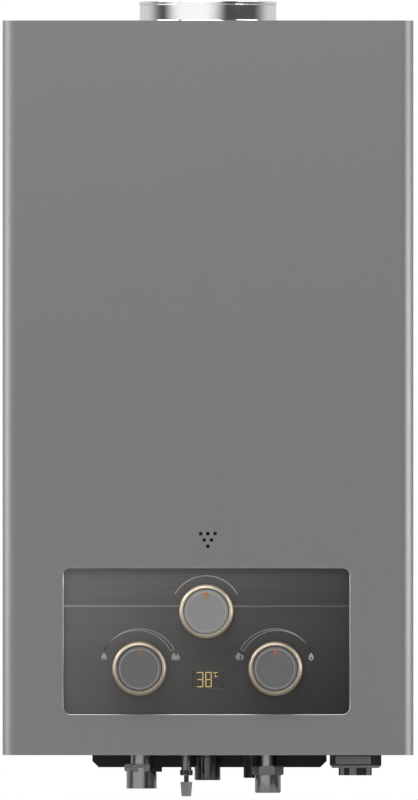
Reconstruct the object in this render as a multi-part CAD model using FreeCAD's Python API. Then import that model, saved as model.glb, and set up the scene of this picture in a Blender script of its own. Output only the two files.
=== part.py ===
"""Wall-hung propane water heater, built up from its separate pieces.

Millimetres. The origin is the middle of the back plate's wall face. +X points to the right of
somebody who faces the heater, +Y points into the wall and +Z points up, so the front is at -Y.
"""
import FreeCAD
import Part
import math
import os

V = FreeCAD.Vector

# ---------------------------------------------------------------- casing
casing_w = 330.0
casing_h = 590.0
casing_d = 165.0
sheet = 0.8
cover_radius = 10.0
cover_lip = 14.0
cover_gap = 0.3
plate_flange = 25.0
front_flange = 13.0
screw_inset_x = 15.0
screw_inset_y = 8.0
screw_shank_r = 1.9
screw_head_r = 4.0
screw_length = 9.0
hole_clear = 0.2

# ---------------------------------------------------------------- wall fixings
hanger_pitch = 200.0
hanger_z = 265.0
hanger_r = 5.0
hanger_slot = 9.0
hanger_slot_r = 2.5
lower_hole_z = -270.0
lower_hole_r = 3.0

# ---------------------------------------------------------------- control panel
panel_x = -1.2
panel_z = -203.6
panel_w = 229.4
panel_h = 116.8
panel_corner_r = 5.5
panel_recess = 3.5
panel_margin = 5.0
panel_thick = 1.2
panel_gap = 0.1
step_z = -174.6
step_proud = 0.6
step_bevel = 2.4
window_x = 0.2
window_z = -234.3
window_w = 26.0
window_h = 14.1
window_gap = 0.1
lens_thick = 1.4
board_w = 48.0
board_h = 33.0
board_thick = 1.6
standoff = 3.0
standoff_r = 2.2
module_gap = 0.1

# ---------------------------------------------------------------- flame view holes
view_x = -0.1
view_top_z = -117.1
view_pitch = 5.8
view_row = 5.05
view_hole_r = 1.5

# ---------------------------------------------------------------- knobs
selector_x = -1.5
selector_z = -179.7
flame_knob_x = -55.1
water_knob_x = 54.0
lower_knob_z = -225.5
knob_od = 44.0
knob_proud = 20.0
knob_clear = 1.4
bezel_inner_r = 18.25
bezel_bevel_depth = 3.0
cap_gap = 0.25
cap_bevel = 1.1
cap_sink = 0.9
cap_wall = 2.0
hub_r = 6.5
spindle_r = 3.0
spindle_flat = 0.6
spindle_fit = 0.05
press_gap = 0.02
spindle_in_cap = 5.0
panel_hole_r = 3.8
spindle_boss_r = 8.0
spindle_boss = 10.0
spindle_depth = 12.0
spindle_end_gap = 1.0

# ---------------------------------------------------------------- heat side
stack_side_gap = 55.0
stack_back_gap = 30.0
stack_front_gap = 25.0
stack_wall = 0.8
chamber_bottom = -140.0
chamber_top = 100.0
exchanger_h = 50.0
fin_pitch = 6.0
fin_thick = 0.5
fin_edge = 2.0
fin_gap = 0.2
tube_r = 8.0
tube_wall = 0.8
tube_count = 5
tube_end = 18.0
tube_fit = 0.05
bend_clear = 3.0
hood_h = 112.0
hood_top_w = 120.0
flue_r = 55.0
flue_wall = 1.0
flue_proud = 16.0
flue_flange = 8.0
sight_w = 28.0
sight_h = 24.0
sight_z = -122.0
sight_lap = 3.0
sight_thick = 0.6
thermostat_r = 8.0
thermostat_h = 8.0
thermostat_x = 70.0
thermostat_z = 62.0
blade_w = 2.0
blade_out = 4.0
bracket_x = 78.0
bracket_w = 24.0
bracket_h = 22.0
bracket_sheet = 1.5
bracket_upper_z = 70.0
bracket_lower_z = -165.0
bracket_rail = 12.0

# ---------------------------------------------------------------- burner
burner_bottom = -190.0
frame_wall = 1.0
bar_count = 11
bar_side_gap = 11.0
bar_gap = 8.0
bar_top_drop = 2.0
bar_foot = 2.0
bar_round = 3.0
bar_wall = 0.6
bar_slots = 11
bar_slot_w = 1.4
bar_slot_depth = 4.0
venturi_share = 0.4
manifold_h = 16.0
manifold_d = 12.0
manifold_lug = 8.0
manifold_round = 2.0
selector_bore = 9.0
nozzle_gap = 6.0
nozzle_r = 2.5
nozzle_hex = 7.0
nozzle_hex_h = 3.0
nozzle_reach = 3.0
nozzle_bore_r = 0.6
nozzle_clear = 0.7
electrode_x = 36.0
electrode_z = -133.5
ceramic_r = 3.0
ceramic_out = 9.0
ceramic_in = 12.0
wire_r = 0.9
wire_reach = 10.0
wire_bend = 2.0
spark_gap = 3.0

# ---------------------------------------------------------------- gas side
valve_front_gap = 37.0
valve_depth = 66.5
link_in = 31.0
link_z = lower_knob_z
gas_left = -95.0
gas_right = -12.0
gas_top = -200.0
gas_bottom = -262.0
gas_foot_right = 13.0
gas_foot_in = 16.0
foot_bottom = -290.0
casting_round = 4.0
chamber_r = 15.0
seat_x = -21.0
seat_bore_r = 8.0
link_wall = 4.0
partition_x = -70.0
partition_wall = 4.0
partition_bore_r = 7.0
disc_r = 11.0
disc_thick = 3.0
seat_clear = 0.1
spring_wire_r = 0.6
spring_r = 7.5
spring_turns = 6
solenoid_r = 14.0
solenoid_len = 34.0
solenoid_wall = 3.0
solenoid_flange_r = 19.0
solenoid_flange = 3.0
plunger_r = 4.0
plunger_travel = 3.0
plunger_spare = 1.0
riser_x = -77.0
riser_z = -214.0
riser_r = 5.8
riser_bend = 12.0
riser_bore_r = 3.5
riser_port = 12.0
riser_flange_r = 11.0
riser_flange = 3.0
gas_inlet_x = -0.4
gas_inlet_in = 30.0
half_inch_r = 10.48
gas_inlet_low = -315.8
gas_inlet_shoulder = -297.3
gas_neck_r = 8.0
gas_flange_r = 12.0
gas_flange = 3.0
gas_bore_r = 6.5
gas_bore_roof = 8.0
nipple_gap = 0.5

# ---------------------------------------------------------------- water side
water_left = 42.0
water_right = 92.0
water_top = -196.0
water_bottom = -264.0
water_foot_left = 26.0
water_foot_right = 62.0
water_foot_depth = 50.0
water_chamber_r = 16.0
diaphragm_x = 28.0
diaphragm_thick = 1.5
housing_r = 34.0
housing_wall = 4.0
housing_bore_r = 27.0
plate_r = 21.0
plate_thick = 2.0
link_rod_r = 2.0
link_travel = 4.0
plate_spare = 4.0
link_collar_r = 6.0
link_collar_x = 1.1
link_collar_w = 2.0
housing_screw_r = 1.9
housing_screw_head_r = 3.4
housing_screw_head = 2.6
housing_screw_depth = 8.0
housing_screw_count = 6
cold_x = 48.2
cold_in = 16.0
cold_low = -325.8
cold_hex_low = -311.8
cold_hex_top = -304.0
cold_hex_af = 22.0
cold_hex_turn = 10.0
cold_neck_r = 7.0
cold_spigot = 10.0
cold_bore_r = 5.2
port_depth = 15.0
drain_x = 36.3
drain_in = 38.0
drain_r = 8.0
drain_low = -314.2
drain_rib_count = 14
drain_rib = 0.7
drain_hole_gap = 1.0

# ---------------------------------------------------------------- hot outlet and relief screw
hot_x = -53.4
hot_front_gap = 39.0
hot_arm_z = -279.0
hot_body_r = 12.0
hot_body_top = -266.0
hot_body_low = -292.0
hot_neck_r = 8.85
hot_arm_r = 9.0
hot_arm_end = -72.0
hot_bore_r = 6.0
nut_af = 24.0
nut_hex_turn = 20.0
nut_top = -302.4
nut_hex_low = -308.8
nut_low = -322.2
nut_skirt_r = 12.2
nut_lip = 2.4
nut_thread_top = -309.0
nut_groove_r = 10.9
nut_fit = 0.08
tail_flange = 2.0
tail_flange_r = 10.2
relief_x = -17.4
relief_arm_r = 7.0
relief_boss_r = 6.5
relief_boss_top = -271.0
relief_stem_r = 4.0
relief_collar_r = 5.1
relief_collar_top = -307.4
relief_collar_low = -311.6
relief_screw_r = 1.95
relief_travel = 3.0
relief_spare = 3.5
relief_seal_r = 2.6
relief_seal_h = 2.5
relief_seal_fit = 0.08
thumb_top = -317.0
thumb_low = -328.5
thumb_top_r = 4.85
thumb_low_r = 3.85
thumb_rib_count = 16

# ---------------------------------------------------------------- pipes
pipe_r = 7.0
pipe_wall = 1.0
pipe_bend = 20.0
cold_pipe_in = 23.0
cold_pipe_z = -212.0
pipe_side_gap = 15.0
cold_jog_low = 110.0
cold_jog_high = 55.0
hot_jog_high = 185.0
hot_jog_low = 260.0
union_af = 22.0
union_len = 12.0
union_fit = 0.1

# ---------------------------------------------------------------- micro switch
switch_w = 7.0
switch_t = 6.5
switch_h = 20.0
switch_top = -199.0
switch_button_r = 1.0
switch_button_z = -212.0
switch_button_in = 2.0
switch_travel = 2.6
switch_spare = 1.0
lever_x = 0.5
lever_thick = 0.5
lever_w = 2.4
lever_pivot_z = -200.5
lever_tip_z = -222.0
lever_pin_r = 0.6
lever_ear = 1.4
lever_ear_h = 3.4

# ---------------------------------------------------------------- intake guard, battery case, igniter
guard_left = -93.2
guard_right = 95.6
guard_front_gap = 86.0
guard_back_gap = 17.0
guard_low = -305.7
guard_wall = 1.5
guard_chamfer = 5.0
guard_slots = 15
guard_slot_w = 6.0
tab_left = -45.2
tab_right = -37.0
tab_low = -309.4
tab_depth = 6.0
battery_left = 98.1
battery_right = 139.3
battery_front_gap = 15.0
battery_depth = 78.0
battery_top = -232.0
battery_low = -303.0
battery_wall = 1.8
battery_flange = 3.0
battery_flange_thick = 1.5
battery_clear = 0.5
cell_r = 16.9
cell_len = 61.5
cell_tip_r = 4.5
cell_tip = 1.4
cell_gap = 1.0
lid_gap = 0.2
lid_thick = 2.2
lid_chamfer = 2.0
lid_hinge_r = 2.0
lid_hinge_fit = 0.05
lid_pin_r = 1.0
lid_ear = 5.0
lid_ear_h = 4.0
lid_web = 3.0
grip_left = 105.0
grip_right = 131.6
grip_low = -311.4
grip_depth = 9.0
contact_thick = 0.4
contact_spring_r = 5.0
contact_wire_r = 0.4
contact_turns = 3
igniter_side_gap = 9.0
igniter_w = 55.0
igniter_low = -250.0
igniter_top = -172.0
igniter_depth = 28.0
igniter_round = 3.0
lead_r = 1.5
lead_in = 29.0
lead_boss = 6.0
lead_step = 10.0

# ---------------------------------------------------------------- places that follow from the sizes
half_w = casing_w / 2
half_h = casing_h / 2
front_y = -casing_d
inner_half_w = half_w - sheet - cover_gap
plate_top = half_h - sheet
plate_under = plate_top - sheet
inner_front = front_y + sheet + cover_gap
panel_face = front_y + panel_recess
panel_back = panel_face + panel_thick
knob_front = panel_face - knob_proud
knob_back = panel_face - step_proud - knob_clear
cap_front = knob_front + cap_sink
stack_w = casing_w - 2 * stack_side_gap
stack_d = casing_d - stack_back_gap - stack_front_gap
stack_y = -stack_back_gap - stack_d / 2
stack_front = stack_y - stack_d / 2
stack_back = stack_y + stack_d / 2
tube_pitch = stack_d / tube_count
bar_pitch = (stack_w - 2 * bar_side_gap) / bar_count
bar_w = bar_pitch - bar_gap
venturi_r = venturi_share * bar_w
exchanger_top = chamber_top + exchanger_h
tube_z = chamber_top + exchanger_h / 2
hood_top = exchanger_top + hood_h
manifold_back = stack_front - nozzle_gap
manifold_front = manifold_back - manifold_d
bar_top = chamber_bottom - bar_top_drop
bar_bottom = burner_bottom + bar_foot
valve_front_y = front_y + valve_front_gap
valve_back_y = valve_front_y + valve_depth
link_y = valve_front_y + link_in
gas_foot_front = valve_front_y + gas_foot_in
gas_inlet_y = valve_front_y + gas_inlet_in
water_foot_back = valve_front_y + water_foot_depth
cold_y = valve_front_y + cold_in
drain_y = valve_front_y + drain_in
cold_pipe_y = valve_front_y + cold_pipe_in
hot_y = front_y + hot_front_gap
cold_pipe_x = half_w - pipe_side_gap
hot_pipe_x = -cold_pipe_x
lower_bracket_y = valve_back_y + bracket_sheet
relief_seat_z = hot_body_low + relief_seal_h + relief_travel + relief_spare
lid_top = battery_low - lid_gap
lid_low = lid_top - lid_thick
guard_front = front_y + guard_front_gap
guard_back = -guard_back_gap
battery_front = front_y + battery_front_gap
battery_back = battery_front + battery_depth
igniter_left = -half_w + igniter_side_gap
igniter_right = igniter_left + igniter_w
lead_x = igniter_left + lead_in
lid_hinge_y = battery_back + lid_hinge_r + lid_gap
lid_hinge_z = (lid_top + lid_low) / 2
tube_x = stack_w / 2 + tube_end
housing_front_x = diaphragm_x - plate_thick - link_travel - plate_spare - housing_wall
rod_plate_x = diaphragm_x - plate_thick


# ---------------------------------------------------------------- basic solids
def box(x0, x1, y0, y1, z0, z1):
    """Block between two corners."""
    return Part.makeBox(x1 - x0, y1 - y0, z1 - z0, V(x0, y0, z0))


def rod_x(r, x0, x1, y, z):
    return Part.makeCylinder(r, x1 - x0, V(x0, y, z), V(1, 0, 0))


def rod_y(r, x, y0, y1, z):
    return Part.makeCylinder(r, y1 - y0, V(x, y0, z), V(0, 1, 0))


def rod_z(r, x, y, z0, z1):
    return Part.makeCylinder(r, z1 - z0, V(x, y, z0), V(0, 0, 1))


def hexagon(across_flats, centre, axis, length, turn=0.0):
    """Hexagonal bar that starts at centre and runs along axis."""
    reach = across_flats / math.sqrt(3)
    points = []
    for corner in range(7):
        angle = math.radians(60 * corner + turn)
        points.append(V(reach * math.cos(angle), reach * math.sin(angle), 0))
    bar = Part.Face(Part.makePolygon(points)).extrude(V(0, 0, length))
    bar.Placement = FreeCAD.Placement(centre, FreeCAD.Rotation(V(0, 0, 1), axis))
    return bar


def rounded_box(x0, x1, y0, y1, z0, z1, radius, pick):
    """Block whose edges along one axis are rounded; pick says which edges."""
    block = box(x0, x1, y0, y1, z0, z1)
    edges = [edge for edge in block.Edges if pick(edge)]
    return block.makeFillet(radius, edges)


def along(axis):
    """Test for edges that run along one axis (0 is X, 1 is Y, 2 is Z)."""
    def test(edge):
        direction = edge.Vertexes[1].Point - edge.Vertexes[0].Point
        return abs(abs(direction[axis]) - direction.Length) < 1e-6
    return test


def bent_wire(points, bend):
    """Path of straight runs joined by tangent arcs; bend is a radius or one radius per corner."""
    edges = []
    start = points[0]
    corners = len(points) - 2
    bends = bend if isinstance(bend, list) else [bend] * corners
    for index in range(corners):
        corner = points[index + 1]
        into = (corner - points[index]).normalize()
        out = (points[index + 2] - corner).normalize()
        turn = into.getAngle(out)
        setback = bends[index] * math.tan(turn / 2)
        arc_start = corner - into * setback
        arc_end = corner + out * setback
        inward = (out - into).normalize()
        middle = corner + inward * (bends[index] / math.cos(turn / 2) - bends[index])
        edges.append(Part.makeLine(start, arc_start))
        edges.append(Part.Arc(arc_start, middle, arc_end).toShape())
        start = arc_end
    edges.append(Part.makeLine(start, points[-1]))
    return Part.Wire(edges)


def swept(path, radius):
    """Round bar along a path."""
    first = path.Edges[0]
    start = first.valueAt(first.FirstParameter)
    tangent = first.tangentAt(first.FirstParameter)
    ring = Part.Wire(Part.makeCircle(radius, start, tangent))
    return path.makePipeShell([ring], True, False)


def coil(radius, wire, height, turns, base, axis):
    """Helical spring with its foot at base."""
    length = height - 2 * wire
    helix = Part.makeHelix(length / turns, length, radius)
    ring = Part.Wire(Part.makeCircle(wire, V(radius, 0, 0), V(0, 1, 0)))
    spring = Part.Wire(helix.Edges).makePipeShell([ring], True, True)
    spring.translate(V(0, 0, wire))
    spring.Placement = FreeCAD.Placement(base, FreeCAD.Rotation(V(0, 0, 1), axis)).multiply(spring.Placement)
    return spring


def rounded_outline(w, h, radius, x, y, z):
    """Rounded rectangle in the XZ plane, centred on x and z at depth y."""
    block = box(x - w / 2, x + w / 2, y, y + 1, z - h / 2, z + h / 2)
    edges = [edge for edge in block.Edges if along(1)(edge)]
    shape = block.makeFillet(radius, edges)
    faces = [face for face in shape.Faces if abs(face.CenterOfMass.y - y) < 1e-6]
    return faces[0]


# ---------------------------------------------------------------- casing
def cover_screw_places():
    places = []
    for side in (-1, 1):
        for end in (-1, 1):
            places.append((side * (half_w - screw_inset_x), front_y + screw_inset_y, end))
    return places


def cover_screw(x, y, end, grow=0.0):
    """Countersunk screw from outside, flush with the lip it holds; end is +1 above, -1 below."""
    outer = end * half_h
    axis = V(0, 0, -end)
    head = screw_head_r - screw_shank_r
    cone = Part.makeCone(screw_head_r + grow, screw_shank_r + grow, head, V(x, y, outer), axis)
    shank = Part.makeCylinder(screw_shank_r + grow, screw_length, V(x, y, outer), axis)
    return cone.fuse(shank).removeSplitter()


def view_holes():
    """Six flame-view holes in an inverted triangle."""
    holes = []
    for row in range(3):
        for place in range(3 - row):
            x = view_x + (place - (2 - row) / 2) * view_pitch
            z = view_top_z - row * view_row
            holes.append(rod_y(view_hole_r, x, front_y - 1, front_y + sheet + 1, z))
    return holes


def front_cover():
    """Front, sides and lips folded from one sheet, with the panel's recess walls."""
    back = -sheet - cover_gap

    def front_edge(edge):
        return along(2)(edge) and edge.CenterOfMass.y < front_y + sheet + 1
    outer = rounded_box(-half_w, half_w, front_y, back, -half_h, half_h, cover_radius, front_edge)
    inner = rounded_box(-half_w + sheet, half_w - sheet, front_y + sheet, back + 1,
                        -plate_top, plate_top, cover_radius - sheet, front_edge)
    shell = outer.cut(inner)
    lip_back = front_y + cover_lip
    for end in (-1, 1):
        z = end * half_h
        shell = shell.cut(box(-half_w + sheet, half_w - sheet, lip_back, 1,
                              min(z, end * plate_top), max(z, end * plate_top)))
    hole = rounded_outline(panel_w, panel_h, panel_corner_r, panel_x, front_y, panel_z)
    frame = rounded_outline(panel_w + 2 * sheet, panel_h + 2 * sheet, panel_corner_r + sheet,
                            panel_x, front_y, panel_z)
    shell = shell.fuse(frame.extrude(V(0, panel_recess, 0)))
    shell = shell.cut(hole.extrude(V(0, panel_recess + 1, 0)))
    for x, y, end in cover_screw_places():
        shell = shell.cut(cover_screw(x, y, end, hole_clear))
    return shell.cut(view_holes()).removeSplitter()


def back_plate():
    """Wall plate with keyholes, lower screw holes, folded side flanges and welded stack brackets."""
    plate = box(-half_w, half_w, -sheet, 0, -half_h, half_h)
    for side in (-1, 1):
        edge = side * inner_half_w
        inside = edge - side * sheet
        plate = plate.fuse(box(min(edge, inside), max(edge, inside), -plate_flange, -sheet,
                               -plate_under, plate_under))
        x = side * hanger_pitch / 2
        plate = plate.cut(rod_y(hanger_r, x, -sheet - 1, 1, hanger_z))
        plate = plate.cut(box(x - hanger_slot_r, x + hanger_slot_r, -sheet - 1, 1,
                              hanger_z, hanger_z + hanger_slot))
        plate = plate.cut(rod_y(hanger_slot_r, x, -sheet - 1, 1, hanger_z + hanger_slot))
        plate = plate.cut(rod_y(lower_hole_r, x, -sheet - 1, 1, lower_hole_z))
    return plate.fuse(stack_brackets()).removeSplitter()


def stack_brackets():
    """Four folded brackets between the wall plate and the stack."""
    brackets = []
    for side in (-1, 1):
        for z in (bracket_lower_z, bracket_upper_z):
            left = side * bracket_x - bracket_w / 2
            right = left + bracket_w
            bracket = box(left, right, -sheet - bracket_sheet, -sheet, z, z + bracket_h)
            bracket = bracket.fuse(box(left, right, stack_back, -sheet, z, z + bracket_sheet))
            brackets.append(bracket.fuse(box(left, right, stack_back, stack_back + bracket_sheet,
                                             z, z + bracket_h)))
    return brackets


def end_plate(end):
    """Chassis plate above (end +1) or below (end -1), with a folded front edge."""
    low = min(end * plate_top, end * plate_under)
    high = max(end * plate_top, end * plate_under)

    def front_edge(edge):
        return along(2)(edge) and edge.CenterOfMass.y < inner_front + 1
    plate = rounded_box(-inner_half_w, inner_half_w, inner_front, -sheet, low, high, cover_radius, front_edge)
    fold = plate_under - front_flange
    reach = half_w - 2 * cover_radius
    plate = plate.fuse(box(-reach, reach, inner_front, inner_front + sheet,
                           min(end * fold, end * plate_under), max(end * fold, end * plate_under)))
    for x, y, side in cover_screw_places():
        if side == end:
            plate = plate.cut(cover_screw(x, y, side, hole_clear))
    return plate


def top_plate():
    hole = rod_z(flue_r - flue_wall, 0, stack_y, plate_under - 1, plate_top + 1)
    return end_plate(1).cut(hole).removeSplitter()


def base_plate():
    """Floor of the chassis, with an opening for each fitting and slots for the burner's air."""
    plate = end_plate(-1)
    low = -plate_top - 1
    high = -plate_under + 1
    holes = [
        (hot_neck_r + nipple_gap, hot_x, hot_y),
        (relief_stem_r + nipple_gap, relief_x, hot_y),
        (half_inch_r + nipple_gap, gas_inlet_x, gas_inlet_y),
        (cold_neck_r + nipple_gap, cold_x, cold_y),
        (drain_r + drain_hole_gap, drain_x, drain_y),
    ]
    for radius, x, y in holes:
        plate = plate.cut(rod_z(radius, x, y, low, high))
    plate = plate.cut(box(battery_left - battery_clear, battery_right + battery_clear,
                          battery_front - battery_clear, battery_back + battery_clear, low, high))
    for x in guard_slot_places():
        plate = plate.cut(box(x - guard_slot_w / 2, x + guard_slot_w / 2,
                              lower_bracket_y + guard_wall * 3, guard_back - guard_wall * 3, low, high))
    return plate.removeSplitter()


# ---------------------------------------------------------------- control panel and display
def knob_places():
    return ((selector_x, selector_z), (flame_knob_x, lower_knob_z), (water_knob_x, lower_knob_z))


def control_panel():
    """Recessed panel: thin plate, raised lower field with a bevelled top edge, board posts."""
    outline = rounded_outline(panel_w + 2 * panel_margin, panel_h + 2 * panel_margin,
                              panel_corner_r + panel_margin, panel_x, panel_face, panel_z)
    plate = outline.extrude(V(0, panel_thick, 0))
    raised = rounded_outline(panel_w - 2 * panel_gap, panel_h - 2 * panel_gap, panel_corner_r,
                             panel_x, panel_face - step_proud, panel_z)
    raised = raised.extrude(V(0, step_proud, 0))
    left = panel_x - panel_w
    right = panel_x + panel_w
    raised = raised.cut(box(left, right, panel_face - 5, panel_face + 5, step_z, step_z + panel_h))
    bevel = Part.Face(Part.makePolygon([
        V(left, panel_face - step_proud, step_z - step_bevel),
        V(left, panel_face, step_z),
        V(left, panel_face - step_proud, step_z),
        V(left, panel_face - step_proud, step_z - step_bevel),
    ]))
    raised = raised.cut(bevel.extrude(V(right - left, 0, 0)))
    plate = plate.fuse(raised)
    for x, z in board_posts():
        plate = plate.fuse(rod_y(standoff_r, x, panel_back, panel_back + standoff, z))
    for x, z in knob_places():
        plate = plate.cut(rod_y(panel_hole_r, x, panel_face - 2, panel_back + 1, z))
    plate = plate.cut(box(window_x - window_w / 2, window_x + window_w / 2, panel_face - 2, panel_back + 1,
                          window_z - window_h / 2, window_z + window_h / 2))
    return plate.removeSplitter()


def board_posts():
    posts = []
    for side in (-1, 1):
        for end in (-1, 1):
            posts.append((window_x + side * (board_w / 2 - standoff_r - 1),
                          window_z + end * (board_h / 2 - standoff_r - 1)))
    return posts


def display_lens():
    half = window_w / 2 - window_gap
    height = window_h / 2 - window_gap
    return box(window_x - half, window_x + half, panel_back - lens_thick, panel_back,
               window_z - height, window_z + height)


def display_board():
    """Circuit board on the panel's posts, with the digit module soldered to its front."""
    half = window_w / 2 - window_gap
    height = window_h / 2 - window_gap
    y = panel_back + standoff
    module = box(window_x - half, window_x + half, panel_back + module_gap, y,
                 window_z - height, window_z + height)
    board = box(window_x - board_w / 2, window_x + board_w / 2, y, y + board_thick,
                window_z - board_h / 2, window_z + board_h / 2)
    return board.fuse(module).removeSplitter()


# ---------------------------------------------------------------- knobs
def ring_profile(points):
    """Turned piece about the Y axis from (radius, y) points."""
    outline = [V(radius, y, 0) for radius, y in points]
    outline.append(outline[0])
    return Part.Face(Part.makePolygon(outline)).revolve(V(0, 0, 0), V(0, 1, 0), 360)


def knob_cap(x, z):
    """Grey cap: flat face, bevelled rim, hollow back and a hub that takes the spindle."""
    outer = bezel_inner_r - cap_gap
    cap = ring_profile([(0, cap_front), (outer - cap_bevel, cap_front), (outer, cap_front + cap_bevel),
                        (outer, knob_back), (0, knob_back)])
    hollow = ring_profile([(hub_r, cap_front + cap_wall), (outer - cap_wall, cap_front + cap_wall),
                           (outer - cap_wall, knob_back + 1), (hub_r, knob_back + 1)])
    cap = cap.cut(hollow)
    cap.translate(V(x, 0, z))
    return cap.cut(spindle_bar(x, z, cap_front + spindle_in_cap, knob_back + 1, press_gap))


def knob_bezel(x, z):
    """Bronze ring with a wide bevel, pressed over the cap."""
    outer = knob_od / 2
    bezel = ring_profile([(bezel_inner_r, knob_front), (outer, knob_front + bezel_bevel_depth),
                          (outer, knob_back), (bezel_inner_r, knob_back)])
    bezel.translate(V(x, 0, z))
    return bezel


def spindle_bar(x, z, y0, y1, grow=0.0):
    """Round bar with one flat on its upper side."""
    bar = rod_y(spindle_r + grow, x, y0, y1, z)
    flat = box(x - 2 * spindle_r, x + 2 * spindle_r, y0 - 1, y1 + 1,
               z + spindle_r - spindle_flat + grow, z + 2 * spindle_r)
    return bar.cut(flat)


def knob_spindle(x, z, end_y):
    """Spindle: flatted in the knob's hub, plain where it turns in the valve."""
    flatted = spindle_bar(x, z, cap_front + spindle_in_cap, knob_back)
    return flatted.fuse(rod_y(spindle_r, x, knob_back, end_y, z)).removeSplitter()


def spindle_bore(x, z, mouth_y, depth):
    return rod_y(spindle_r + spindle_fit, x, mouth_y - 1, mouth_y + depth, z)


# ---------------------------------------------------------------- heat side
def stack_tube(z0, z1, wall):
    """Open rectangular duct of the stack's outer size."""
    half = stack_w / 2
    duct = box(-half, half, stack_front, stack_back, z0, z1)
    return duct.cut(box(-half + wall, half - wall, stack_front + wall, stack_back - wall, z0 - 1, z1 + 1))


def combustion_chamber():
    """Copper shell with a sight opening and the two electrode holes."""
    shell = stack_tube(chamber_bottom, chamber_top, stack_wall)
    shell = shell.cut(box(view_x - sight_w / 2, view_x + sight_w / 2, stack_front - 1,
                          stack_front + stack_wall + 1, sight_z - sight_h / 2, sight_z + sight_h / 2))
    for side in (-1, 1):
        shell = shell.cut(rod_y(ceramic_r + hole_clear, side * electrode_x, stack_front - 1,
                                stack_front + stack_wall + 1, electrode_z))
    return shell


def sight_window():
    return box(view_x - sight_w / 2 - sight_lap, view_x + sight_w / 2 + sight_lap,
               stack_front - sight_thick, stack_front,
               sight_z - sight_h / 2 - sight_lap, sight_z + sight_h / 2 + sight_lap)


def tube_places():
    """Depth of each tube, front one first."""
    return [stack_y + (index - (tube_count - 1) / 2) * tube_pitch for index in range(tube_count)]


def heat_exchanger_case():
    case = stack_tube(chamber_top, exchanger_top, stack_wall)
    half = stack_w / 2
    for y in tube_places():
        case = case.cut(rod_x(tube_r + tube_fit, -half - 1, half + 1, y, tube_z))
    return case


def heat_exchanger_fins():
    """Stack of thin copper plates on the tubes."""
    count = int((stack_w / 2 - 2 * stack_wall) / fin_pitch)
    front = stack_front + stack_wall + fin_gap
    back = stack_back - stack_wall - fin_gap
    plate = box(0, fin_thick, front, back, chamber_top + fin_edge, exchanger_top - fin_edge)
    for y in tube_places():
        plate = plate.cut(rod_x(tube_r + tube_fit, -1, fin_thick + 1, y, tube_z))
    fins = []
    for index in range(-count, count + 1):
        fin = plate.copy()
        fin.translate(V(index * fin_pitch - fin_thick / 2, 0, 0))
        fins.append(fin)
    return Part.makeCompound(fins)


def serpentine():
    """Tube route: from the right front, to and fro, out at the left rear."""
    places = tube_places()
    turn_x = stack_w / 2 + bend_clear
    bend = tube_pitch / 2
    edges = []
    side = 1
    start = V(tube_x, places[0], tube_z)
    for index, y in enumerate(places):
        last = index == len(places) - 1
        end = V(-side * (tube_x if last else turn_x), y, tube_z)
        edges.append(Part.makeLine(start, end))
        if not last:
            middle = V(-side * (turn_x + bend), y + bend, tube_z)
            start = V(-side * turn_x, places[index + 1], tube_z)
            edges.append(Part.Arc(end, middle, start).toShape())
        side = -side
    return Part.Wire(edges)


def heat_exchanger_tubes():
    route = serpentine()
    return swept(route, tube_r).cut(swept(route, tube_r - tube_wall))


def flue_hood():
    """Tapered hood that gathers the fumes, with a throat up to the top plate."""
    def rectangle(w, d, z):
        x = w / 2
        y = d / 2
        return Part.makePolygon([V(-x, stack_y - y, z), V(x, stack_y - y, z), V(x, stack_y + y, z),
                                 V(-x, stack_y + y, z), V(-x, stack_y - y, z)])
    top = hood_top_w
    wall = 2 * stack_wall
    outer = Part.makeLoft([rectangle(stack_w, stack_d, exchanger_top), rectangle(top, top, hood_top)],
                          True, True)
    inner = Part.makeLoft([rectangle(stack_w - wall, stack_d - wall, exchanger_top),
                           rectangle(top - wall, top - wall, hood_top - stack_wall)], True, True)
    hood = outer.cut(inner).fuse(rod_z(flue_r, 0, stack_y, hood_top, plate_under))
    return hood.cut(rod_z(flue_r - flue_wall, 0, stack_y, hood_top - 2, plate_under + 1)).removeSplitter()


def flue_collar():
    """Round spigot for the flue pipe, with a flange on the top plate."""
    spigot = rod_z(flue_r, 0, stack_y, plate_top, half_h + flue_proud)
    spigot = spigot.fuse(rod_z(flue_r + flue_flange, 0, stack_y, plate_top, plate_top + flue_wall))
    bore = rod_z(flue_r - flue_wall, 0, stack_y, plate_top - 1, half_h + flue_proud + 1)
    return spigot.cut(bore).removeSplitter()


def overheat_thermostat():
    disc = rod_y(thermostat_r, thermostat_x, stack_front - thermostat_h, stack_front, thermostat_z)
    ear = box(thermostat_x - 2 * thermostat_r, thermostat_x + 2 * thermostat_r,
              stack_front - stack_wall, stack_front,
              thermostat_z - thermostat_r / 2, thermostat_z + thermostat_r / 2)
    for side in (-1, 1):
        x = thermostat_x + side * thermostat_r / 2
        disc = disc.fuse(box(x - blade_w / 2, x + blade_w / 2, stack_front - thermostat_h - blade_out,
                             stack_front - thermostat_h, thermostat_z - blade_w, thermostat_z + blade_w))
    return disc.fuse(ear).removeSplitter()


# ---------------------------------------------------------------- burner
def bar_places():
    return [(index - (bar_count - 1) / 2) * bar_pitch for index in range(bar_count)]


def burner_frame():
    """Open frame that holds the burner bars, with a hole for each nozzle."""
    frame = stack_tube(burner_bottom, chamber_bottom, frame_wall)
    for x in bar_places():
        frame = frame.cut(rod_y(nozzle_r + nozzle_clear, x, stack_front - 1,
                                stack_front + frame_wall + 1, selector_z))
    return frame


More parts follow.
